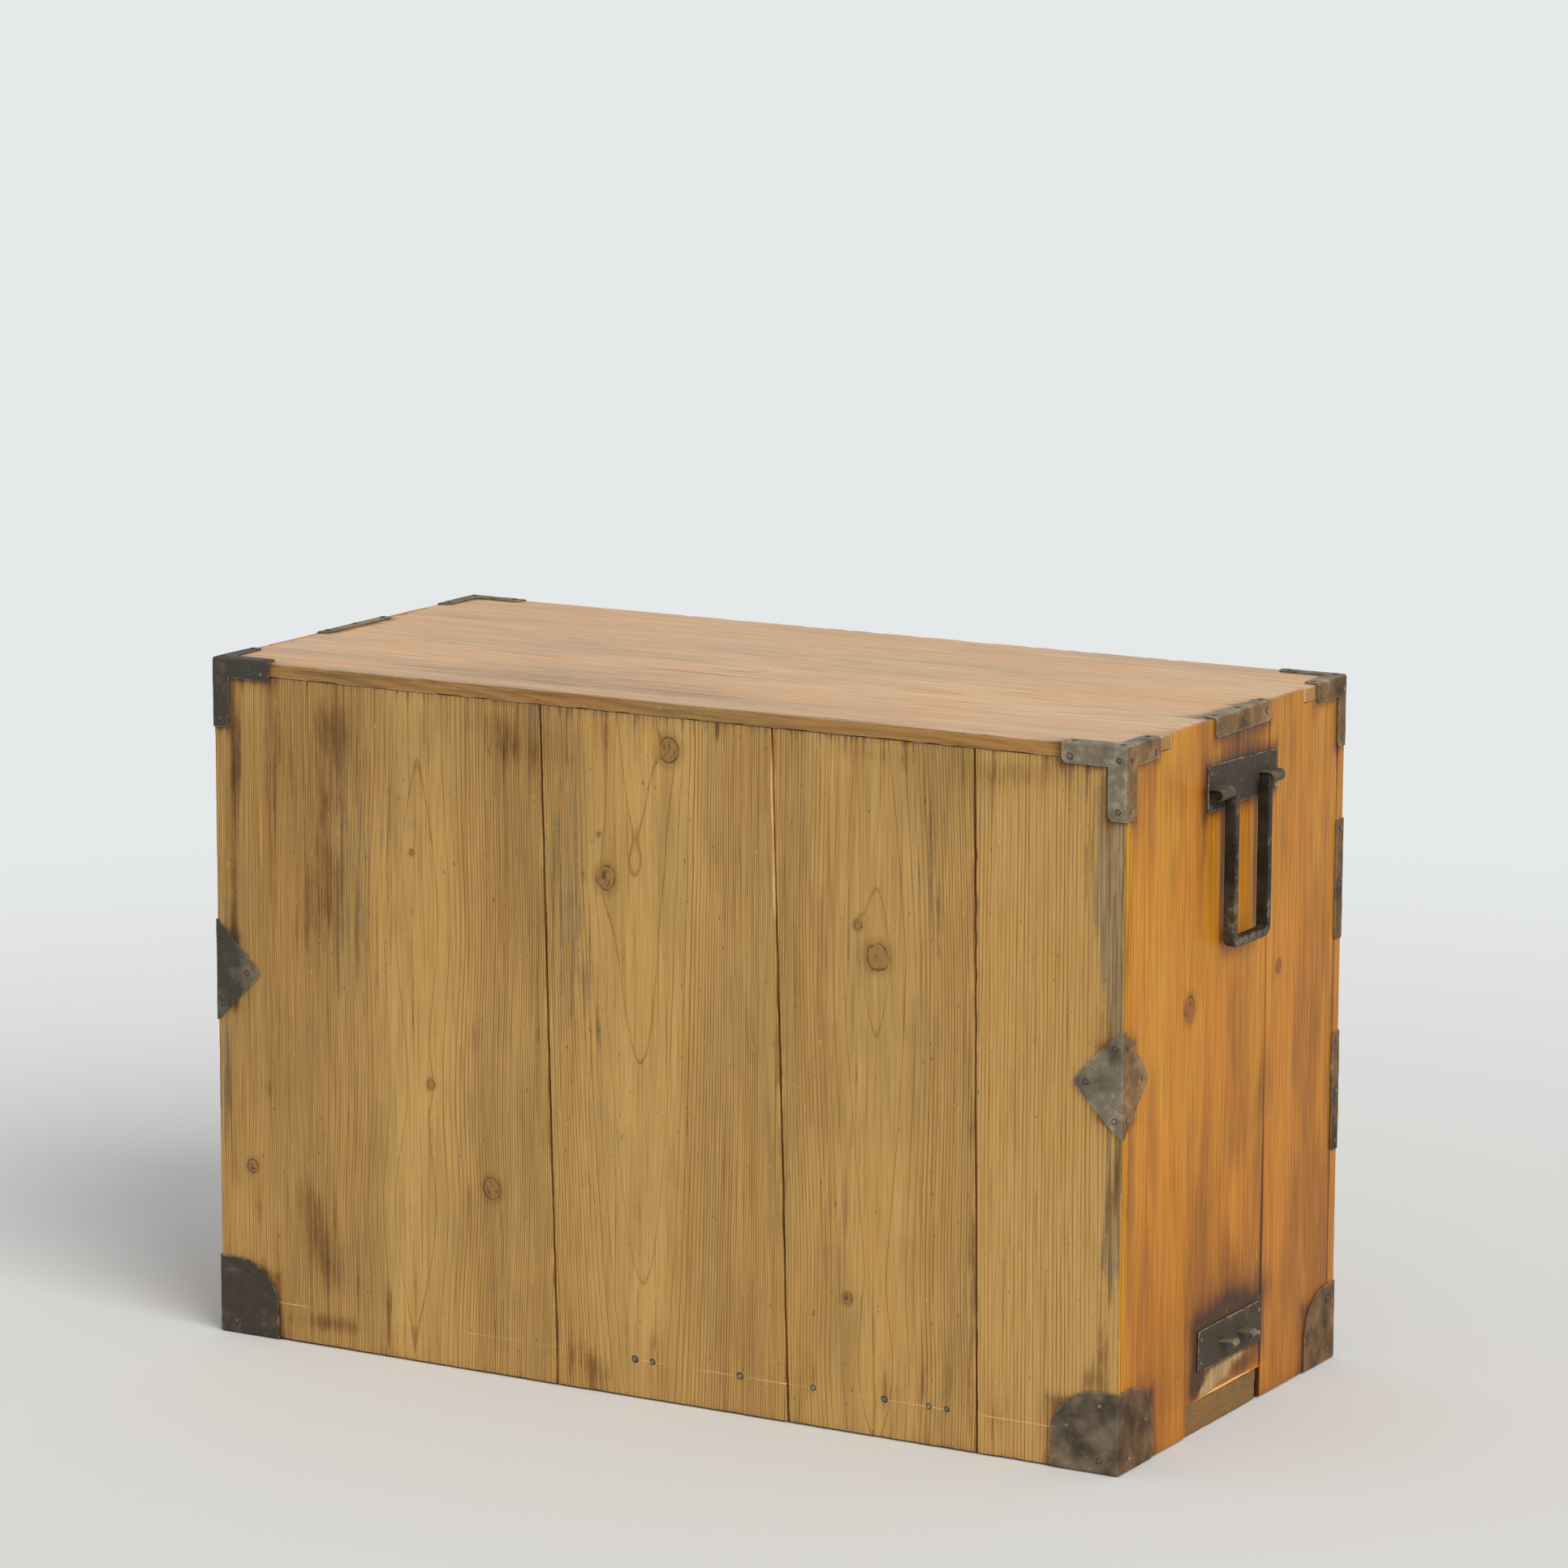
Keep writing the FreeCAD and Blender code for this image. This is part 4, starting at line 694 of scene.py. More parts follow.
TOP_GREYS += on_face(
    Z, REAR_EDGE, 12,
    (-210, 210, 220, 2, 1.9), (330, 210, 100, 2, 1.9), (100, 210, 140, 2, 1.3))
board("lid_board", [(top_low, top_high)], X, Z, 3.4, top_wood, ["top_board"],
      cuts=tongue_cuts, spots=TOP_SPOTS, greys=TOP_GREYS, tones=TOP_TONES, wear=1.3, edge=0.9,
      seed=91, soaked=[(1, 0, 0), (-1, 0, 0), (0, 1, 0), (0, -1, 0)],
      grain={"pith": (60, 520), "width": 3.6, "slope": 0.05, "lean": 0.03, "wave": 14, "seed": 92})

# ------------------------------------------------------------------ rails and drawer boards
# The rails of the front and the drawer fronts are oiled like the sides. Behind the fronts the
# drawers are thin bare boards: two sides let into the front, a back and a nailed bottom.

front_wood = wood("oiled drawer fronts", X, Z, (0.56, 0.25, 0.03), (0.42, 0.17, 0.015),
                  (0.27, 0.085, 0.008), (0.04, 0.018, 0.007), (0.46, 0.34, 0.17), figure=0.62,
                  gloss=0.44, streaky=0.6, relief=0.14, line=2.0)

for place, rail in enumerate(("bottom_rail", "lower_rail", "upper_rail")):
    board(rail.replace("_", "_case_"), [box_mm(rail)], X, Y, 4.5, front_wood,
          [rail], grain={"pith": (70 * place, -330), "width": 3.0}, seed=101 + place)

DRAWER_WALL, DRAWER_LAP = 10, 10
PULL_OFFSET, KEY_ROOM = 240, np.array([2, 1, 5])
for order, drawer in enumerate(("bottom", "middle", "top")):
    body = f"{drawer}_drawer"
    low, high = box_mm(f"{drawer}_drawer_front")
    side_low, side_high = box_mm(f"{drawer}_drawer_sides")
    level = (low[Z] + high[Z]) / 2
    rebates = [((x - DRAWER_WALL if x > 0 else x - 1, high[Y] - DRAWER_LAP, side_low[Z]),
                (x + 1 if x > 0 else x + DRAWER_WALL, high[Y] + 1, side_high[Z]))
               for x in (low[X], high[X])]
    key_level = np.mean(box_mm(f"{drawer}_drawer_lock"), axis=0)[Z]
    keyhole = (np.array([0, low[Y], key_level]) - KEY_ROOM,
               np.array([0, high[Y], key_level]) + KEY_ROOM)
    hands = on_face(Y, low[Y], 20, *[
        row for x in (-PULL_OFFSET, 0, PULL_OFFSET)
        for row in ((x, level - 8, 76, 34, 0.32), (x, level - 30, 40, 12, 0.3))])
    board(f"{drawer}_front", [(low, high)], X, Y, 4.0, front_wood,
          [f"{drawer}_drawer_front"], body=body, cuts=[*rebates, keyhole], spots=hands,
          wear=0.9, edge=0.8,
          grain={"pith": (level - 40 + 50 * order, -300 + 14 * order), "width": 2.9,
                 "slope": 0.03, "lean": 0.02, "wave": 10, "seed": 111 + order,
                 "knots": [(level + 24 - 20 * order, -120 + 190 * order, 7)]}, seed=121 + order)
    walls = [((near, *side_low[1:]), (near + DRAWER_WALL, *side_high[1:]))
             for near in (side_low[X], side_high[X] - DRAWER_WALL)]
    board(f"{drawer}_walls", walls, Y, X, 8, cross_wood,
          [f"{drawer}_drawer_sides"], body=body, grain={"pith": (level, 600), "width": 3.6},
          seed=131 + order)
    board(f"{drawer}_end", [box_mm(f"{drawer}_drawer_back")], X, Y, 8, inner_wood,
          [f"{drawer}_drawer_back"], body=body,
          grain={"pith": (level, 130), "width": 3.8}, seed=141 + order)
    board(f"{drawer}_floor", [box_mm(f"{drawer}_drawer_bottom")], X, Z, 8, inner_wood,
          [f"{drawer}_drawer_bottom"], body=body,
          grain={"pith": (40 * order - 30, -60), "width": 5.0}, seed=151 + order)

# ------------------------------------------------------------------ corner irons
# Sheet iron a millimetre and a half thick, cut, folded hot round each corner and nailed. Three
# faces meet at every upper corner; the lower ones are shoes with a large round and a sole.


def iron(name, dark, base, light, rust, gloss=0.6, dents=0.3):
    """Old iron: grey scale in three blotchy tones, rust in patches, and paler rims where it is
    rubbed. The marks rim, tone and oil lie on the mesh; oil browns it, partly as oil and partly as
    painted warm light. dents is the height of the hammer's marks in millimetres."""
    (_, _, plus, times, ease, mark), (_, noise, about, coats, oiled, dress) = shader(name)
    broad, small, fine = noise(26, 4), noise(7, 5, 0.65), noise(1.7, 3, 0.7)
    tone = plus(mark("tone"), about(broad, 2.6))
    rim = plus(mark("rim"), about(small, 1.3, 0.55))
    colour = coats(
        tint(*dark), (ease(tone, -0.45, 0.5), base),
        (ease(plus(tone, about(small, 2.4)), 0.35, 1.2), light),
        (ease(small, 0.56, 0.74, 0.0, 0.6), rust), (ease(fine, 0.58, 0.78, 0.0, 0.4), light),
        (ease(fine, 0.42, 0.26, 0.0, 0.6), dark), (ease(rim, 0.12, 0.42, 0.0, 0.6), light))
    height = plus(times(small, 0.8), times(fine, 0.35))
    rough = ease(plus(small, times(fine, 0.5)), 0.4, 1.0, gloss - 0.12, gloss + 0.22)
    # Where the mark oil lies the iron is browned: partly oil, partly painted warm light on the
    # irons of the sides.
    return dress(oiled(colour, (0.85, 0.58, 0.36)), rough, height, dents, 0.25, 0.15)


sheet_iron = iron("sheet iron", (0.060, 0.051, 0.040), (0.215, 0.172, 0.115),
                  (0.42, 0.36, 0.26), (0.18, 0.09, 0.042))
IRON = 1.5
BEND = 2 * IRON


def quarter(points, i, j, start, size, where, clip=False):
    """Turns the square corner of a plate, size along each side and beginning at start in the
    directions i and j, into a quarter disc, or with clip into a triangle. Disc: u becomes
    u sqrt(1 - v^2 / 2) and v becomes v sqrt(1 - u^2 / 2). Triangle: both are multiplied by
    the larger of them over their sum."""
    u = (points[:, i] - start[0]) / size
    v = (points[:, j] - start[1]) / size
    inside = where & (u > 0) & (v > 0)
    if clip:
        share = np.maximum(u, v) / np.where(inside, u + v, 1)
        new_u, new_v = u * share, v * share
    else:
        new_u = u * np.sqrt(np.clip(1 - v * v / 2, 0, 1))
        new_v = v * np.sqrt(np.clip(1 - u * u / 2, 0, 1))
    points = points.copy()
    points[inside, i] = start[0] + size * new_u[inside]
    points[inside, j] = start[1] + size * new_v[inside]
    return points


def folded(plates, cell=3.0, warps=(), marks=()):
    """A sheet iron folded round a corner. In its own frame the corner of the case is at the
    origin and the case lies towards +x, +y and +z. Each plate is the axis it faces and the
    rectangles, from the corner, that it covers along the other two axes. warps then cut its
    ends, and each fold is rounded as a quarter disc of twice the thickness."""
    reach = np.zeros(3)
    stops = [{IRON / 2, IRON, 1.5 * IRON, BEND, *marks} for axis in (X, Y, Z)]
    for axis, rectangles in plates:
        for size in rectangles:
            for other, length in zip([a for a in (X, Y, Z) if a != axis], size):
                reach[other] = max(reach[other], length)
                stops[other].add(length)
    reach = np.maximum(reach, IRON)
    grid = [planes(0, reach[a], cell, stops[a]) for a in (X, Y, Z)]
    middle = centres(grid)
    kept = np.zeros(middle.shape[:3], bool)
    for axis, rectangles in plates:
        u, v = [middle[..., a] for a in (X, Y, Z) if a != axis]
        for size in rectangles:
            kept |= (middle[..., axis] < IRON) & (u < size[0]) & (v < size[1])
    points, faces = skin(grid, kept)
    for warp in warps:
        points = warp(points)
    faced = {axis for axis, _ in plates}
    for i, j in ((X, Y), (Y, Z), (X, Z)):
        if {i, j} <= faced:
            mirrored = points.copy()
            mirrored[:, [i, j]] = BEND - mirrored[:, [i, j]]
            mirrored = quarter(mirrored, i, j, (0, 0), BEND, np.full(len(points), True))
            mirrored[:, [i, j]] = BEND - mirrored[:, [i, j]]
            points = mirrored
    return points, faces


def seat(surface, corner, turns):
    """Puts an iron's own frame at a corner of the case; turns is +1 or -1 along x, y and z,
    and an odd number of -1 swaps the winding so that faces stay outwards."""
    points, faces = surface
    points = np.array(corner) + points * turns
    return points, faces[:, ::-1] if np.prod(turns) < 0 else faces


def gather(*surfaces):
    """Several surfaces as one."""
    shift, points, faces = 0, [], []
    for some_points, some_faces in surfaces:
        rows = some_faces.tolist() if isinstance(some_faces, np.ndarray) else some_faces
        points.append(some_points)
        faces += [[shift + i for i in row] for row in rows]
        shift += len(some_points)
    return np.concatenate(points), faces


DARK_CORNER, DARKER = 80, 0.65


def hammered(name, surfaces, body="case", nodes=(), tone=0.0, seed=1, dent=0.22, brown=0.0):
    """Sheet irons as one piece: their faces sink by a smooth field of up to twice dent, and
    rims lie on their edges. Those of the right rear corner are the darkest. The faces that lie
    on the sides are browned, partly by the oil of the sides and partly as painted warm light that
    falls on the sides; brown adds to that, or takes from it."""
    worked, sharps, sideways = [], [], []
    for points, faces in surfaces:
        normals, sharp = outward(points, faces)
        sink = dent * (1 + drift(points, (13, 13, 13), seed, 2) * 0.8)
        worked.append((points - normals * np.clip(sink, 0, 2 * dent)[:, None], faces))
        sharps.append(sharp)
        sideways.append(np.abs(normals[:, X]))
    points, faces = gather(*worked)
    rims = np.clip(np.concatenate(sharps) * 3, 0, 0.4)
    # Faces that look along x lie on the sides and are browned: partly the oil of the sides, partly
    # painted warm light falling on the sides.
    oil = np.clip((np.concatenate(sideways) - 0.6) * 4, 0, 1) * (body == "case")
    tones = tone + 0.35 * drift(points, (45, 45, 45), seed + 3)
    tones -= DARKER * ((points[:, X] > out_x - DARK_CORNER) & (points[:, Y] > out_y - DARK_CORNER))
    return put(name, points, faces, sheet_iron, body, nodes,
               {"rim": rims, "tone": tones, "oil": np.clip(oil + brown, 0, 1)}, 0.35)


def ends_cut(pairs, size, clip=False):
    """Warps that round or clip the outer corner of each listed arm: an arm is the axis its
    plate faces, and where the corner lies along the other two axes."""
    warps = []
    for axis, corner in pairs:
        i, j = [a for a in (X, Y, Z) if a != axis]

        def warp(points, axis=axis, i=i, j=j, corner=corner):
            return quarter(points, i, j, (corner[0] - size, corner[1] - size), size,
                           points[:, axis] <= IRON + 1e-6, clip)
        warps.append(warp)
    return warps


CORNER_END = 6
STILE_BAND, LID_FRONT_BAND = 17, 12
arm, drop, band, lid = corner_arm, corner_drop, CORNER_BAND, CORNER_LID
for end, sign_y in (("back", 1), ("front", -1)):
    upright = band if end == "back" else STILE_BAND
    level_band = band if end == "back" else LID_FRONT_BAND
    plates = [(X, [(arm, band), (upright, drop)]), (Y, [(arm, level_band), (upright, drop)]),
              (Z, [(arm, lid), (lid, arm)])]
    cut = ends_cut([(axis, size) for axis, sizes in plates for size in sizes], CORNER_END)
    marks = [a - CORNER_END * share for a in (arm, drop, band, upright, level_band, lid)
             for share in (1, 0.75, 0.5, 0.25)]
    for hand, sign_x in (("left", -1), ("right", 1)):
        surface = seat(folded(plates, warps=cut, marks=marks),
                       (sign_x * out_x, sign_y * out_y, out_z), (-sign_x, -sign_y, -1))
        pale = 0.5 if (end, hand) == ("back", "left") else 0.1
        hammered(f"{end}_{hand}_top_corner", [surface], tone=pale, seed=161 + sign_x + sign_y,
                 nodes=[f"top_corner_iron_{end}_{hand}"])

SHOE_ROUND, SHOE_FRONT_BAND = 42, 36
shoe_wide, shoe_tall = (shoe_high - shoe_low)[[X, Z]]
for end, sign_y in (("back", 1), ("front", -1)):
    cheek = [(shoe_wide, shoe_tall)]
    face = cheek if end == "back" else [(shoe_wide, SHOE_FRONT_BAND), (STILE_BAND, shoe_tall)]
    plates = [(X, cheek), (Y, face), (Z, [(shoe_wide, shoe_wide)])]
    cut = ends_cut([(X, (shoe_wide, shoe_tall))], SHOE_ROUND)
    cut += ends_cut([(Z, (shoe_wide, shoe_wide))], SHOE_ROUND, clip=True)
    if end == "back":
        cut += ends_cut([(Y, (shoe_wide, shoe_tall))], SHOE_ROUND)
    else:
        cut += ends_cut([(Y, (shoe_wide, SHOE_FRONT_BAND)), (Y, (STILE_BAND, shoe_tall))],
                        CORNER_END)
    marks = [shoe_wide - SHOE_ROUND, shoe_tall - SHOE_ROUND, shoe_wide - CORNER_END,
             SHOE_FRONT_BAND - CORNER_END, STILE_BAND - CORNER_END, shoe_tall - CORNER_END]
    for hand, sign_x in (("left", -1), ("right", 1)):
        surface = seat(folded(plates, cell=2.6, warps=cut, marks=marks),
                       (sign_x * out_x, sign_y * out_y, 0), (-sign_x, -sign_y, 1))
        hammered(f"{end}_{hand}_shoe", [surface], tone=0.15, seed=171 + 2 * sign_x + sign_y,
                 nodes=[f"bottom_corner_iron_{end}_{hand}"], dent=0.16, brown=0.3)

# ------------------------------------------------------------------ edge irons and plates
# Diamonds on the rear corners, straps over the ends of the top and on the front corners, and
# flat plates behind the bails. They are folded and nailed like the corner irons.

diamond_tall = diamond_high[Z] - diamond_low[Z]
DIAMOND_REACH, DIAMOND_SOFT = 46, 0.07


def pointed(points):
    """Narrows both legs of a diamond towards its ends: a leg's width beyond the fold is
    multiplied by 1 - |2z / h - 1|, softened at the middle."""
    middle = 2 * points[:, Z] / diamond_tall - 1
    width = 1 + DIAMOND_SOFT - np.sqrt(middle ** 2 + DIAMOND_SOFT ** 2)
    share = np.clip((width * DIAMOND_REACH - IRON) / (DIAMOND_REACH - IRON), 0.03, 1)
    points = points.copy()
    for across, along in ((X, Y), (Y, X)):
        leg = (points[:, across] <= IRON + 1e-6) & (points[:, along] > IRON)
        points[leg, along] = IRON + (points[leg, along] - IRON) * share[leg]
    return points


leg = [(DIAMOND_REACH, diamond_tall)]
diamond = folded([(X, leg), (Y, leg)], cell=2.6, warps=[pointed])
hammered("rear_diamonds", [seat(diamond, (sign * out_x, out_y, diamond_low[Z]), (-sign, -1, 1))
                           for sign in (-1, 1)], tone=0.35, seed=181, nodes=["diamond_irons"])

STRAP_LEG, STRAP_LID, STRAP_END = 18, 13, 5
strap_long = strap_high[Y] - strap_low[Y]


def strap_ends(first, length, second, size):
    """Rounds the four outer corners of a two-legged strap that runs along z from 0 to length;
    the legs face x and y and are first and second wide."""
    def warp(points):
        for mirror in (False, True):
            if mirror:
                points = points * (1, 1, -1) + (0, 0, length)
            points = quarter(points, Y, Z, (second - size, length - size), size,
                             points[:, X] <= IRON + 1e-6)
            points = quarter(points, X, Z, (first - size, length - size), size,
                             points[:, Y] <= IRON + 1e-6)
        return points * (1, 1, -1) + (0, 0, length)
    return warp


def strap(width_x, width_y, length):
    """A strap folded lengthwise round an edge that runs along its own z."""
    marks = [length - STRAP_END, STRAP_END, width_x - STRAP_END, width_y - STRAP_END]
    marks += [end + STRAP_END * share for end in (0, length - STRAP_END)
              for share in (0.25, 0.5, 0.75)]
    return folded([(Y, [(width_x, length)]), (X, [(width_y, length)])], marks=marks,
                  warps=[strap_ends(width_x, length, width_y, STRAP_END)])


points, faces = strap(STRAP_LID, STRAP_LEG, strap_long)
lying = points[:, [X, Z, Y]], faces[:, ::-1]
hammered("top_straps", [seat(lying, (sign * out_x, strap_low[Y], out_z), (-sign, 1, -1))
                        for sign in (-1, 1)], tone=0.4, seed=183, nodes=["top_edge_straps"])

front_levels = np.sort([v.co.z * 1000 for v in frame["nodes"]["front_edge_straps"].data.vertices])
FRONT_LEG = 17
front_strap = strap(FRONT_LEG, FRONT_LEG, strap_long)
hammered("front_straps", [seat(front_strap, (sign * out_x, -out_y, foot), (-sign, 1, 1))
                          for sign in (-1, 1)
                          for foot in (front_levels[0], front_levels[-1] - strap_long)],
         tone=0.1, seed=185, nodes=["front_edge_straps"])


def flat_plate(low, high, step=3.0, cuts=(), clip=2.0, face=X, round_off=False):
    """A flat plate between two corners, less the cuts, with its four corners clipped or
    rounded."""
    marks = [sorted({float(v) for pair in cuts for v in (pair[0][i], pair[1][i])}
                    | ({low[i] + clip, high[i] - clip} if i != face else set()))
             for i in (X, Y, Z)]
    grid = [planes(low[i], high[i], step, marks[i]) for i in (X, Y, Z)]
    points, faces = skin(grid, ~within(centres(grid), cuts))
    i, j = [a for a in (X, Y, Z) if a != face]
    centre = (np.array(low) + high) / 2
    start = ((high[i] - low[i]) / 2 - clip, (high[j] - low[j]) / 2 - clip)
    for turn_i, turn_j in ((-1, -1), (-1, 1), (1, -1), (1, 1)):
        turns = np.ones(3)
        turns[[i, j]] = turn_i, turn_j
        points = quarter((points - centre) * turns, i, j, start, clip,
                         np.full(len(points), True), clip=not round_off)
        points = points * turns + centre
    return points, faces


REAR_RISE, FRONT_DROP = 3.5, 1.5
for hand, sign in (("left", -1), ("right", 1)):
    low, high = box_mm(f"{hand}_handle_plate")
    points, faces = flat_plate(low, high)
    rear_share = (points[:, Y] - low[Y]) / (high[Y] - low[Y])
    up_share = (points[:, Z] - low[Z]) / (high[Z] - low[Z])
    points[:, Z] += up_share * (rear_share * (REAR_RISE + FRONT_DROP) - FRONT_DROP)
    hammered(f"{hand}_bail_plate", [(points, faces)], tone=-0.35, seed=191 + sign,
             nodes=[f"{hand}_handle_plate"], brown=-0.5)

# ------------------------------------------------------------------ hooks
# Two straps on each hook plate, riveted behind it, drawn out and curled downwards. The cord
# that ties this chest to the bail of the one below runs through them.

forged_iron = iron("forged iron", (0.020, 0.015, 0.009), (0.060, 0.046, 0.030),
                   (0.24, 0.195, 0.13), (0.11, 0.055, 0.026), gloss=0.6, dents=0.8)
pale_iron = iron("rubbed iron", (0.07, 0.054, 0.036), (0.21, 0.16, 0.10),
                 (0.42, 0.33, 0.215), (0.18, 0.10, 0.05), gloss=0.5, dents=0.3)


def evened(path, step):
    """The same line with points about step apart."""
    run = np.append(0, np.cumsum(np.linalg.norm(np.diff(path, axis=0), axis=1)))
    places = np.linspace(0, run[-1], max(2, round(run[-1] / step) + 1))
    return np.stack([np.interp(places, run, path[:, i]) for i in (X, Y, Z)], -1), places


def bends(corners, radii, step=1.0):
    """Straight runs through corners, each inner corner turned by an arc of its radius."""
    corners = np.array(corners, float)
    path = [corners[0]]
    for before, at, after, radius in zip(corners, corners[1:], corners[2:], radii):
        a, b = before - at, after - at
        a, b = a / np.linalg.norm(a), b / np.linalg.norm(b)
        half = math.acos(np.clip(a @ b, -1, 1)) / 2
        middle = at + (a + b) / np.linalg.norm(a + b) * radius / math.sin(half)
        first, last = at + a * radius / math.tan(half), at + b * radius / math.tan(half)
        share = np.linspace(0, 1, 9)[:, None]
        sweep = (first - middle) * (1 - share) + (last - middle) * share
        path += list(middle + sweep / np.linalg.norm(sweep, axis=1, keepdims=True) * radius)
    return evened(np.array(path + [corners[-1]]), step)


def tube(index):
    """Faces between the rings of a tube, and one on each end; each row of index is a ring."""
    near, far = index[:-1], index[1:]
    sides = np.stack([near, np.roll(near, -1, 1), np.roll(far, -1, 1), far], -1)
    return sides.reshape(-1, 4).tolist() + [index[0, ::-1].tolist(), index[-1].tolist()]


def carried(path, flat, half, wide, power, around=16):
    """An outline carried along a path that lies in a plane with the normal flat. At each step
    it is |u / half|^p + |v / wide|^p = 1, with u across the path in that plane and v along
    flat. Both ends are closed."""
    count = len(path)
    half, wide, power = (np.broadcast_to(value, count)[:, None] for value in (half, wide, power))
    forward = np.gradient(path, axis=0)
    forward /= np.linalg.norm(forward, axis=1, keepdims=True)
    flat = np.array(flat, float)
    across = np.cross(flat, forward)
    turn = np.linspace(0, 2 * np.pi, around, endpoint=False)[None]
    u = half * np.sign(np.cos(turn)) * np.abs(np.cos(turn)) ** (2 / power)
    v = wide * np.sign(np.sin(turn)) * np.abs(np.sin(turn)) ** (2 / power)
    points = path[:, None] + across[:, None] * u[..., None] + flat * v[..., None]
    return points.reshape(-1, 3), tube(np.arange(count * around).reshape(count, around))


SMOOTH_TO = math.radians(42)


def forge(name, surfaces, body, nodes, finish, tone=0.0, seed=1, dent=0.0, rim=None):
    """Forged bars as one piece, dented by a smooth field. rim is pale wear, one number a point."""
    points, faces = gather(*surfaces)
    shift = np.stack([drift(points, (9, 9, 9), seed + i, 2) for i in range(3)], -1) * dent
    tones = tone + 0.4 * drift(points, (30, 30, 30), seed + 5)
    rims = np.zeros(len(points)) if rim is None else rim(points)
    piece = put(name, points + shift, faces, finish, body, nodes,
                {"rim": rims, "tone": tones})
    piece.data.set_sharp_from_angle(angle=SMOOTH_TO)
    return piece


HOOK_CURL, HOOK_STRAP, HOOK_WIDTH, HOOK_SPACING, HOOK_TOP = 3.5, 2, 14, 35, 72.5
hook_tip = hook_high[X]
for hand, sign in (("left", -1), ("right", 1)):
    ends = np.array([[out_x - IRON, *hook_low[1:]], [out_x, *hook_high[1:]]]) * (sign, 1, 1)
    plate = flat_plate(ends.min(axis=0), ends.max(axis=0))
    centre = np.array([sign * (hook_tip - HOOK_CURL), 0, HOOK_TOP - HOOK_CURL])
    mean = HOOK_CURL - HOOK_STRAP / 2
    turn = np.radians(np.linspace(90, -112, 24))
    curl = np.stack([sign * np.cos(turn), 0 * turn, np.sin(turn)], -1) * mean + centre
    start = np.array([sign * (side_face - 3), 0, HOOK_TOP - HOOK_STRAP / 2 - 1.5])
    path, run = evened(np.vstack([start[None], curl]), 0.9)
    share = run / run[-1]
    hooks = []
    for y in (-HOOK_SPACING / 2, HOOK_SPACING / 2):
        wide = HOOK_WIDTH / 2 * (1 - 0.22 * np.clip(share - 0.3, 0, 1) / 0.7)
        thick = HOOK_STRAP / 2 * (1 - 0.45 * np.clip(share - 0.55, 0, 1) / 0.45)
        hooks.append(carried(path + (0, y, 0), (0, 1, 0), thick, wide, 5.0, 20))
    hammered(f"{hand}_tie_plate", [plate], tone=-0.65, seed=201 + sign,
             nodes=[f"{hand}_hook_plate"], brown=-0.5)
    forge(f"{hand}_hooks", hooks, "case", [f"{hand}_hook_plate"], pale_iron, tone=0.15,
          seed=205 + sign, dent=0.12)

# ------------------------------------------------------------------ bails and their eyes
# A bail is a flat bar forged to a long U, its ends turned outwards into round pins. Each pin
# turns in a strap rolled into an eye, whose end is driven through the plate into the side.

PIN, EYE_HOLLOW, EYE_STRAP, EYE_LONG, EYE_GAP, PIVOT_REACH = 3.15, 3.5, 1.6, 24, 0.7, 9.5
BAIL_WIDE, BAIL_BAR, BAIL_DEPTH, BAIL_ROUND, PIN_BEND = 71, 7.5, 11, 10, 5
bail_low, bail_high = box_mm("right_bail")
pivot = {joint["name"]: np.array(joint["pos_m"]) * 1000
         for joint in frame["joints"] if joint["type"] == "hinge"}
eyes = []
for hand, sign in (("left", -1), ("right", 1)):
    axis = pivot[f"{hand}_bail_swing"]
    leg_y, end_y = BAIL_WIDE / 2 - BAIL_BAR / 2, bail_high[Y]
    foot_z = bail_low[Z] + BAIL_BAR / 2
    corners = [(axis[X], y, z) for y, z in
               ((-end_y, axis[Z]), (-leg_y, axis[Z]), (-leg_y, foot_z), (leg_y, foot_z),
                (leg_y, axis[Z]), (end_y, axis[Z]))]
    bow = BAIL_ROUND - BAIL_BAR / 2
    path, run = bends(corners, (PIN_BEND, bow, bow, PIN_BEND), 2.0)
    along = np.minimum(run, run[-1] - run) - (end_y - leg_y - PIN_BEND)
    flatten = np.clip(along / 6, 0, 1)
    flatten = flatten * flatten * (3 - 2 * flatten)
    bar = carried(path, (1, 0, 0), PIN + (BAIL_BAR / 2 - PIN) * flatten,
                  PIN + (BAIL_DEPTH / 2 - PIN) * flatten, 2 + 4.5 * flatten, 24)

    def rubbed(points, sign=sign, foot_z=foot_z):
        """Wear on the outer face of the bar and on its lower bend."""
        outer = np.clip((sign * points[:, X] - out_x - PIVOT_REACH - 1.5) / 4, 0, 1)
        return 0.32 * outer + 0.2 * np.exp(-np.abs(points[:, Z] - foot_z) / 7)

    forge(f"{hand}_carrying_bail", [bar], f"{hand}_bail", [f"{hand}_bail"], forged_iron,
          tone=-0.2, seed=211 + sign, dent=0.12, rim=rubbed)
    mean = EYE_HOLLOW + EYE_STRAP / 2
    turn = np.linspace(90, -205, 44)
    spread = mean + 0.5 * np.clip((-60 - turn) / 145, 0, 1)
    turn = np.radians(turn)
    roll = np.stack([sign * np.cos(turn) * spread, 0 * turn, np.sin(turn) * spread], -1)
    roll += (axis[X], 0, axis[Z])
    tail = np.array([[sign * (side_face - 10), 0, axis[Z] + mean]])
    path, run = evened(np.vstack([tail, roll]), 0.9)
    for side in (-1, 1):
        middle = side * (BAIL_WIDE / 2 + EYE_GAP + EYE_LONG / 2)
        eyes.append(carried(path + (0, middle, 0), (0, 1, 0), EYE_STRAP / 2, EYE_LONG / 2 - 0.1,
                            7.0, 28))
forge("bail_eyes", eyes, "case", ["handle_eyes"], pale_iron, tone=-0.05, seed=221, dent=0.06)

# ------------------------------------------------------------------ drawer fittings
# Each drawer has a lock plate with a keyhole and its case behind the front, and two swinging
# pulls. A pull hangs between eye posts, straps bent double and clenched, on square washers.

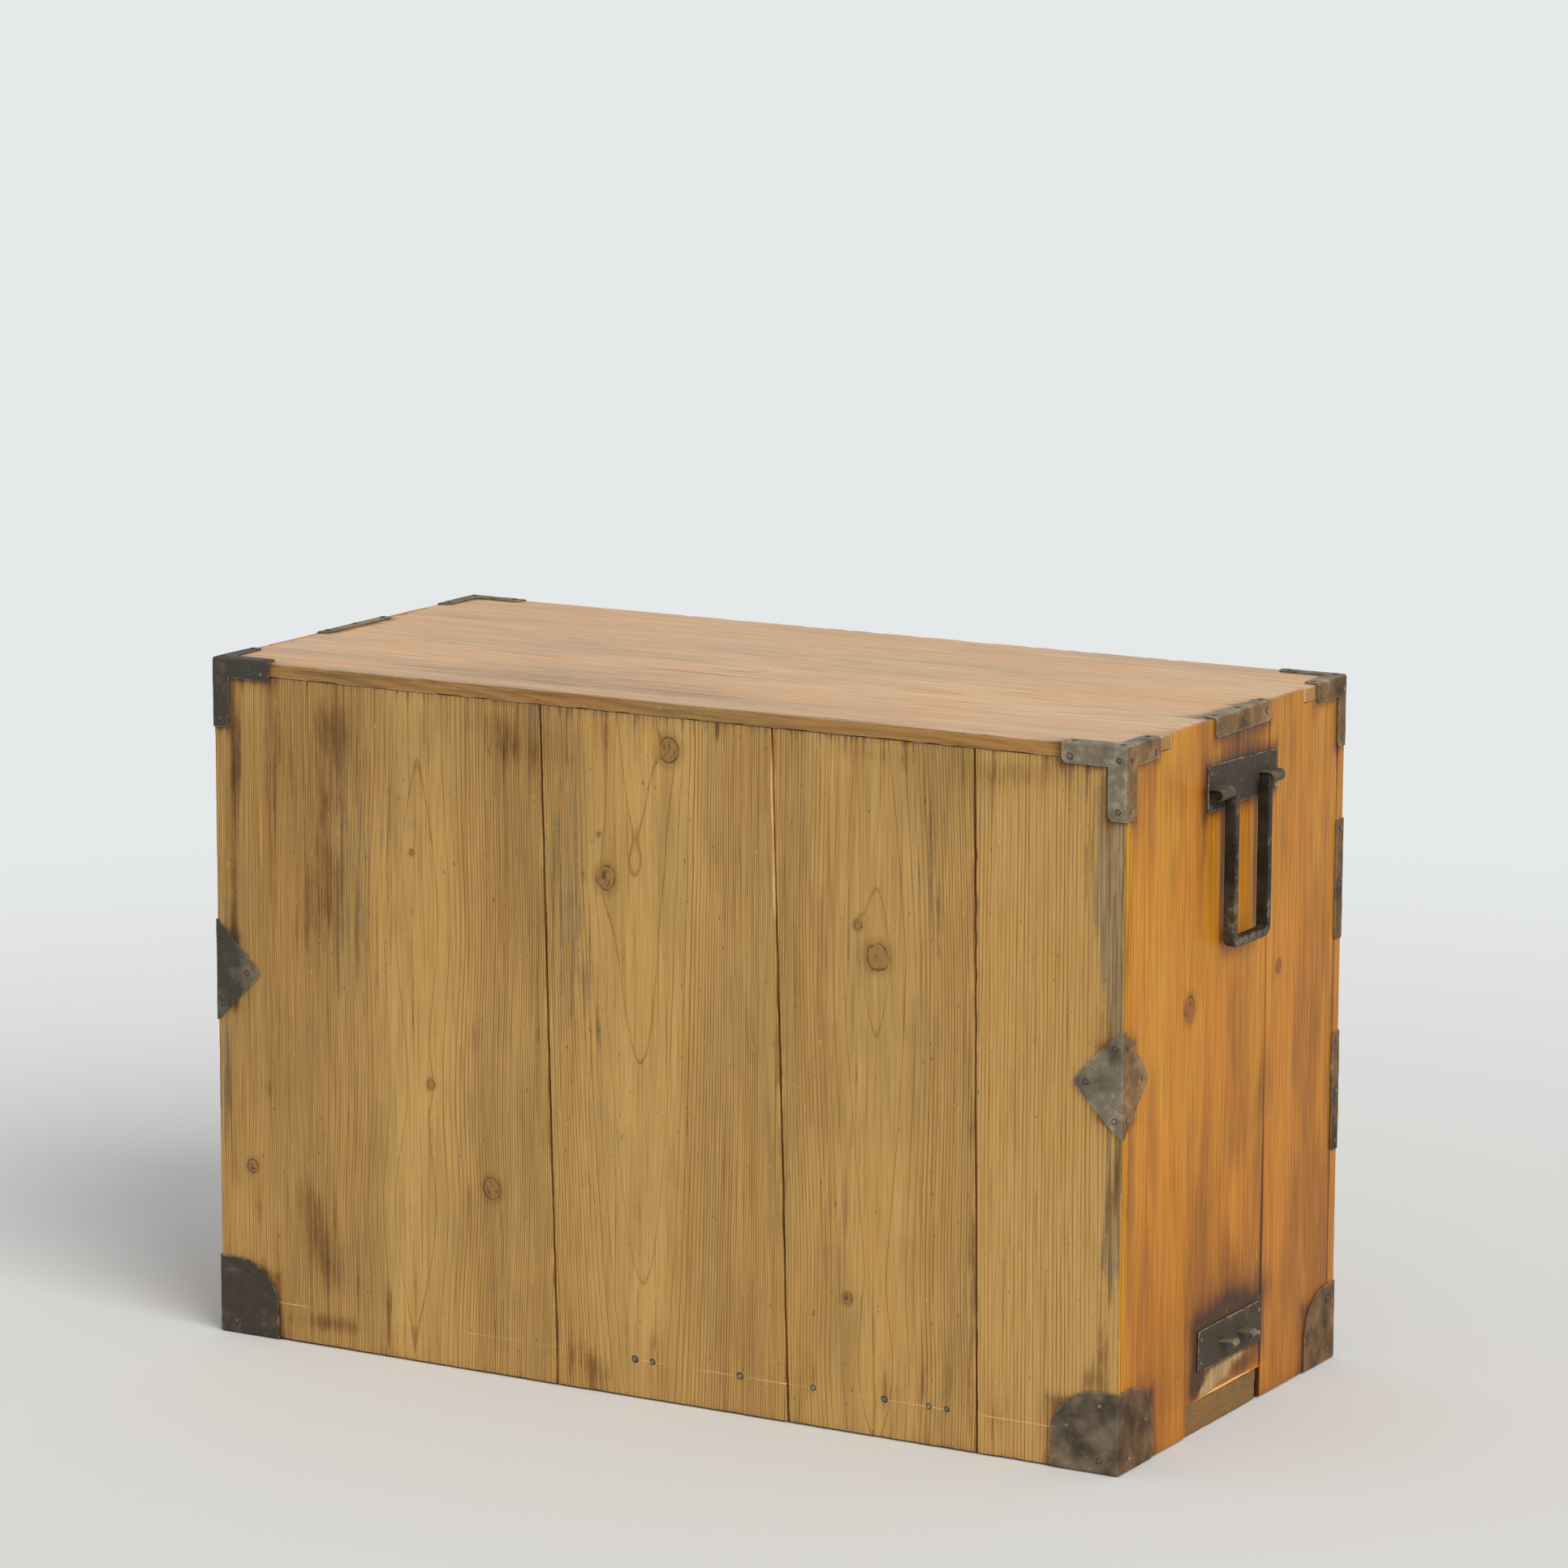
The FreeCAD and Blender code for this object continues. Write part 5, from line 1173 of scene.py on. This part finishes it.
LOCK_CLIP, KEY_WIDE, KEY_TALL, WASHER = 9, 5, 12, 1.2
LOCK_CASE_WIDE, LOCK_CASE_TALL = 46, 38
PULL_HALF, PULL_BAR, PULL_DROP, PULL_PIN, PULL_ROUND, PULL_BEND = 57, 6, 38, 2.5, 14, 3
POST_GAP, POST_WIDE, POST_ROOT, POST_HALF, POST_LOOP, POST_APART = 1, 6, 12, 0.98, 3.75, 1.15
WASHER_HALF, LOCK_NAIL_X, LOCK_NAIL_Z = 10, 5, 14
DOME_RINGS, DOME_AROUND = 3, 8
# Tones of a nail head from its foot to its crown: the dark foot and rim are painted shade round the
# base of the head, the paler crown is a painted highlight.
DOME_SHADE_AND_HIGHLIGHT = np.repeat((-1.4, -1.0, 0.0, 0.5), DOME_AROUND)


def domes(places, outwards, radius, height, seed):
    """Low nail heads with a thin foot half as wide again: on each, points at radius sin(t) and
    height cos(t) above its place, t from the rim to the crown, each head turned, swollen and
    tilted a little."""
    rng = np.random.default_rng(seed)
    count = len(places)
    normal = outwards / np.linalg.norm(outwards, axis=1, keepdims=True)
    side = np.cross(normal, np.where(np.abs(normal[:, [Z]]) > 0.5, [[1, 0, 0]], [[0, 0, 1]]))
    normal = normal + rng.uniform(-0.12, 0.12, (count, 1)) * side
    other = np.cross(normal, side)
    t = np.linspace(np.pi / 2, 0.35, DOME_RINGS)
    spin = np.linspace(0, 2 * np.pi, DOME_AROUND, endpoint=False) + rng.uniform(0, 1, (count, 1))
    size = rng.uniform(0.85, 1.12, (count, 1)) * (1 + 0.1 * np.sin(2 * spin + 3))
    rings = []
    for angle in t:
        round_off = radius * size * math.sin(angle)
        rings.append(places[:, None] + side[:, None] * (round_off * np.cos(spin))[..., None]
                     + other[:, None] * (round_off * np.sin(spin))[..., None]
                     + normal[:, None] * height * math.cos(angle) ** 0.8)
    base = places[:, None] + (rings[0] - places[:, None]) * 1.4 - normal[:, None] * 0.45
    points = np.stack([base, *rings], 1).reshape(-1, 3)
    ring = np.arange((DOME_RINGS + 1) * DOME_AROUND).reshape(-1, DOME_AROUND)
    faces = [face for first in range(0, len(points), ring.size) for face in tube(ring + first)]
    return points, faces


for order, drawer in enumerate(("bottom", "middle", "top")):
    body = f"{drawer}_drawer"
    low, high = box_mm(f"{drawer}_drawer_lock")
    front_face, inner_face = [corner[Y] for corner in box_mm(f"{drawer}_drawer_front")]
    middle_z = (low[Z] + high[Z]) / 2
    plate_high = np.array([high[X], front_face, high[Z]])
    keyhole = ((-KEY_WIDE / 2, low[Y] - 1, middle_z - KEY_TALL / 2),
               (KEY_WIDE / 2, front_face + 1, middle_z + KEY_TALL / 2))
    plate = flat_plate(low, plate_high, 2.5, [keyhole], LOCK_CLIP, face=Y)
    case_low = np.array([-LOCK_CASE_WIDE / 2, inner_face, middle_z - LOCK_CASE_TALL / 2])
    case_high = np.array([LOCK_CASE_WIDE / 2, high[Y], middle_z + LOCK_CASE_TALL / 2])
    lock_case = flat_plate(case_low, case_high, 4.0, face=Y, round_off=True)
    nail_x, nail_z = high[X] - LOCK_NAIL_X, (high[Z] - low[Z]) / 2 - LOCK_NAIL_Z
    spots = np.array([(x, low[Y], middle_z + z) for x in (-nail_x, nail_x)
                      for z in (-nail_z, nail_z)])
    hammered(f"{drawer}_lock", [plate, lock_case], body=body, tone=0.1, seed=231 + order,
             nodes=[f"{drawer}_drawer_lock"], dent=0.12)
    heads = domes(spots, np.tile([[0.0, -1.0, 0.0]], (4, 1)), 2.0, 0.9, 235 + order)
    # The heads' tones paint shade round their feet and a highlight on their crowns.
    forge(f"{drawer}_lock_nails", [heads], body, [], sheet_iron, seed=237 + order,
          tone=np.tile(DOME_SHADE_AND_HIGHLIGHT, len(spots)))

    posts, washers = [], []
    for hand, sign in (("left", -1), ("right", 1)):
        axis = pivot[f"{drawer}_drawer_pull_{hand}_swing"]
        leg_x, foot_z = PULL_HALF - PULL_BAR / 2, axis[Z] - PULL_DROP + PULL_BAR / 2
        pin_x = PULL_HALF - PULL_BAR - POST_GAP - POST_WIDE - 1
        corners = [(axis[X] + x, axis[Y], z) for x, z in
                   ((-pin_x, axis[Z]), (-leg_x, axis[Z]), (-leg_x, foot_z), (leg_x, foot_z),
                    (leg_x, axis[Z]), (pin_x, axis[Z]))]
        bow = PULL_ROUND - PULL_BAR / 2
        path, run = bends(corners, (PULL_BEND, bow, bow, PULL_BEND), 1.6)
        along = np.minimum(run, run[-1] - run) - (leg_x - pin_x - PULL_BEND)
        along = np.clip(along / 5, 0, 1)
        belly = np.exp(-((path[:, X] - axis[X]) / 26) ** 2) * (path[:, Z] < axis[Z] - 20)
        half = PULL_PIN + (PULL_BAR / 2 - PULL_PIN) * along * (0.86 + 0.14 * belly)
        bar = carried(path, (0, -1, 0), half, half, 2 + 1.0 * along, 16)

        def polished(points, foot_z=foot_z):
            """Wear where fingers take hold, on the lower bar."""
            return 0.22 * np.exp(-np.abs(points[:, Z] - foot_z) / 6)

        forge(f"{drawer}_{hand}_pull", [bar], f"{drawer}_drawer_pull_{hand}",
              [f"{drawer}_drawer_pull_{hand}"], forged_iron, tone=0.1,
              seed=241 + 3 * order + sign, dent=0.1, rim=polished)
        for side in (-1, 1):
            x = axis[X] + side * (PULL_HALF - PULL_BAR - POST_GAP - POST_WIDE / 2)
            turn = np.radians(np.linspace(34, 326, 30))
            ring = np.stack([0 * turn, np.cos(turn), np.sin(turn)], -1) * POST_LOOP
            ring += (x, axis[Y], axis[Z])
            ends = [np.array([[x, front_face + POST_ROOT - 1, axis[Z] + z],
                              [x, axis[Y] + 8, axis[Z] + z]]) for z in (POST_APART, -POST_APART)]
            path, run = evened(np.vstack([ends[0], ring, ends[1][::-1]]), 1.0)
            path[1:-1] = (path[:-2] + 2 * path[1:-1] + path[2:]) / 4
            posts.append(carried(path, (1, 0, 0), POST_HALF, POST_WIDE / 2, 5.0, 12))
            washers.append(flat_plate((x - WASHER_HALF, front_face - WASHER, axis[Z] - WASHER_HALF),
                                      (x + WASHER_HALF, front_face, axis[Z] + WASHER_HALF),
                                      2.5, clip=3, face=Y))
    forge(f"{drawer}_eye_posts", posts, body, [f"{drawer}_drawer_pull_posts"], forged_iron,
          tone=0.2, seed=251 + order, dent=0.05)
    hammered(f"{drawer}_washers", washers, body=body, tone=0.1, seed=255 + order,
             nodes=[f"{drawer}_drawer_pull_posts"], dent=0.1)

# ------------------------------------------------------------------ nails
# Small forged nails with low, uneven heads hold every iron, and a row of them holds the back
# boards to the bottom of the case.

NAIL_TRIANGLES, NAIL_HIGH, NAIL_RADIUS, NAIL_RISE, DARK_NAILS = 16, 1.1, 2.3, 0.95, 360
nails = frame["nodes"]["case_nails"].data
nail_points = np.array([v.co for v in nails.vertices]) * 1000
nail_faces = np.array([list(p.vertices) for p in nails.polygons])
corners = nail_points[nail_faces].reshape(-1, NAIL_TRIANGLES * 3, 3)
spread = np.linalg.norm(corners[:, :, None] - corners[:, None], axis=-1)
first, second = np.array([np.unravel_index(s.argmax(), s.shape) for s in spread]).T
rows = np.arange(len(corners))
one, two = corners[rows, first], corners[rows, second]
middle = corners.mean(axis=1)
nearer = np.linalg.norm(one - middle, axis=1) < np.linalg.norm(two - middle, axis=1)
head, tip = np.where(nearer[:, None], (one, two), (two, one))
outwards = (head - tip) / np.linalg.norm(head - tip, axis=1, keepdims=True)
heads = domes(head - outwards * NAIL_HIGH, outwards, NAIL_RADIUS, NAIL_RISE, 261)
dark_side = np.repeat(head[:, X], len(DOME_SHADE_AND_HIGHLIGHT)) > DARK_NAILS
# The heads' tones paint shade round their feet and a highlight on their crowns.
forge("iron_nails", [heads], "case", ["case_nails"], sheet_iron, seed=263,
      tone=np.tile(DOME_SHADE_AND_HIGHLIGHT, len(head)) - 0.5 * dark_side)

# ------------------------------------------------------------------ floor, light and camera
# A plain pale floor that fades into the backdrop, one large soft light from above the left
# rear corner, and the pale room as fill.

floor_look = bpy.data.materials.new("pale floor")
floor_look.use_nodes = True
add, _, _, _, ease, _ = words(floor_look.node_tree)
far = add("VectorMath", {0: add("TexCoord").outputs["Object"]}, operation="LENGTH")
paint = add("BsdfDiffuse", {"Color": tint(0.74, 0.735, 0.72)})
mixed = add("MixShader", {0: ease(far.outputs["Value"], 0.9, 2.6), 1: paint.outputs[0],
                          2: add("BsdfTransparent").outputs[0]})
add("OutputMaterial", {"Surface": mixed.outputs[0]})
FLOOR_RADIUS, FLOOR_STEPS = 4.5, 64
turn = np.linspace(0, 2 * np.pi, FLOOR_STEPS, endpoint=False)
disc = np.stack([FLOOR_RADIUS * np.cos(turn), FLOOR_RADIUS * np.sin(turn), 0 * turn], -1)
floor_mesh = bpy.data.meshes.new("floor")
floor_mesh.from_pydata(disc.tolist(), [], [list(range(FLOOR_STEPS))])
floor_mesh.materials.append(floor_look)
floor = bpy.data.objects.new("floor", floor_mesh)
bpy.context.scene.collection.objects.link(floor)

FILL = 0.6
world = bpy.data.worlds.new("pale room")
bpy.context.scene.world = world
world.use_nodes = True
add, maths, *_ = words(world.node_tree)
fill = add("Background", {"Color": tint(0.93, 0.97, 1.0), "Strength": FILL})
backdrop = add("Background", {"Color": tint(0.79, 0.81, 0.82)})
seen = add("LightPath").outputs
any_seen = maths("MAXIMUM", seen["Is Camera Ray"], seen["Is Transmission Ray"])
any_seen = maths("MAXIMUM", any_seen, seen["Is Glossy Ray"])
pick = add("MixShader", {0: any_seen, 1: fill.outputs[0], 2: backdrop.outputs[0]})
add("OutputWorld", {"Surface": pick.outputs[0]})


def sun(name, towards, soft, strength, colour):
    """Even light from one side: towards points from the chest to the light, and soft is how
    wide the light looks, in degrees."""
    light = bpy.data.lights.new(name, "SUN")
    light.angle, light.energy, light.color = math.radians(soft), strength, colour
    holder = bpy.data.objects.new(name, light)
    holder.rotation_euler = Vector(towards).to_track_quat("Z", "Y").to_euler()
    bpy.context.scene.collection.objects.link(holder)


sun("large window", (-0.7, 0.35, 0.62), 38, 2.0, (1.0, 0.975, 0.93))

CAMERA_PLACE = Vector((-2.582, 4.511, 1.454))
CAMERA_AIM = Vector((0.48735, -0.85439, -0.18029))
CAMERA_ROLL, CAMERA_LENS = 0.17, 140.05
camera = bpy.data.objects.new("camera", bpy.data.cameras.new("camera"))
camera.data.lens = CAMERA_LENS
camera.data.sensor_width = 36
camera.data.clip_start, camera.data.clip_end = 0.1, 60
look = CAMERA_AIM.to_track_quat("-Z", "Y").to_matrix().to_4x4()
camera.matrix_world = (Matrix.Translation(CAMERA_PLACE) @ look
                       @ Matrix.Rotation(math.radians(CAMERA_ROLL), 4, "Z"))
bpy.context.scene.collection.objects.link(camera)
bpy.context.scene.camera = camera
bpy.context.scene.view_settings.view_transform = "Standard"
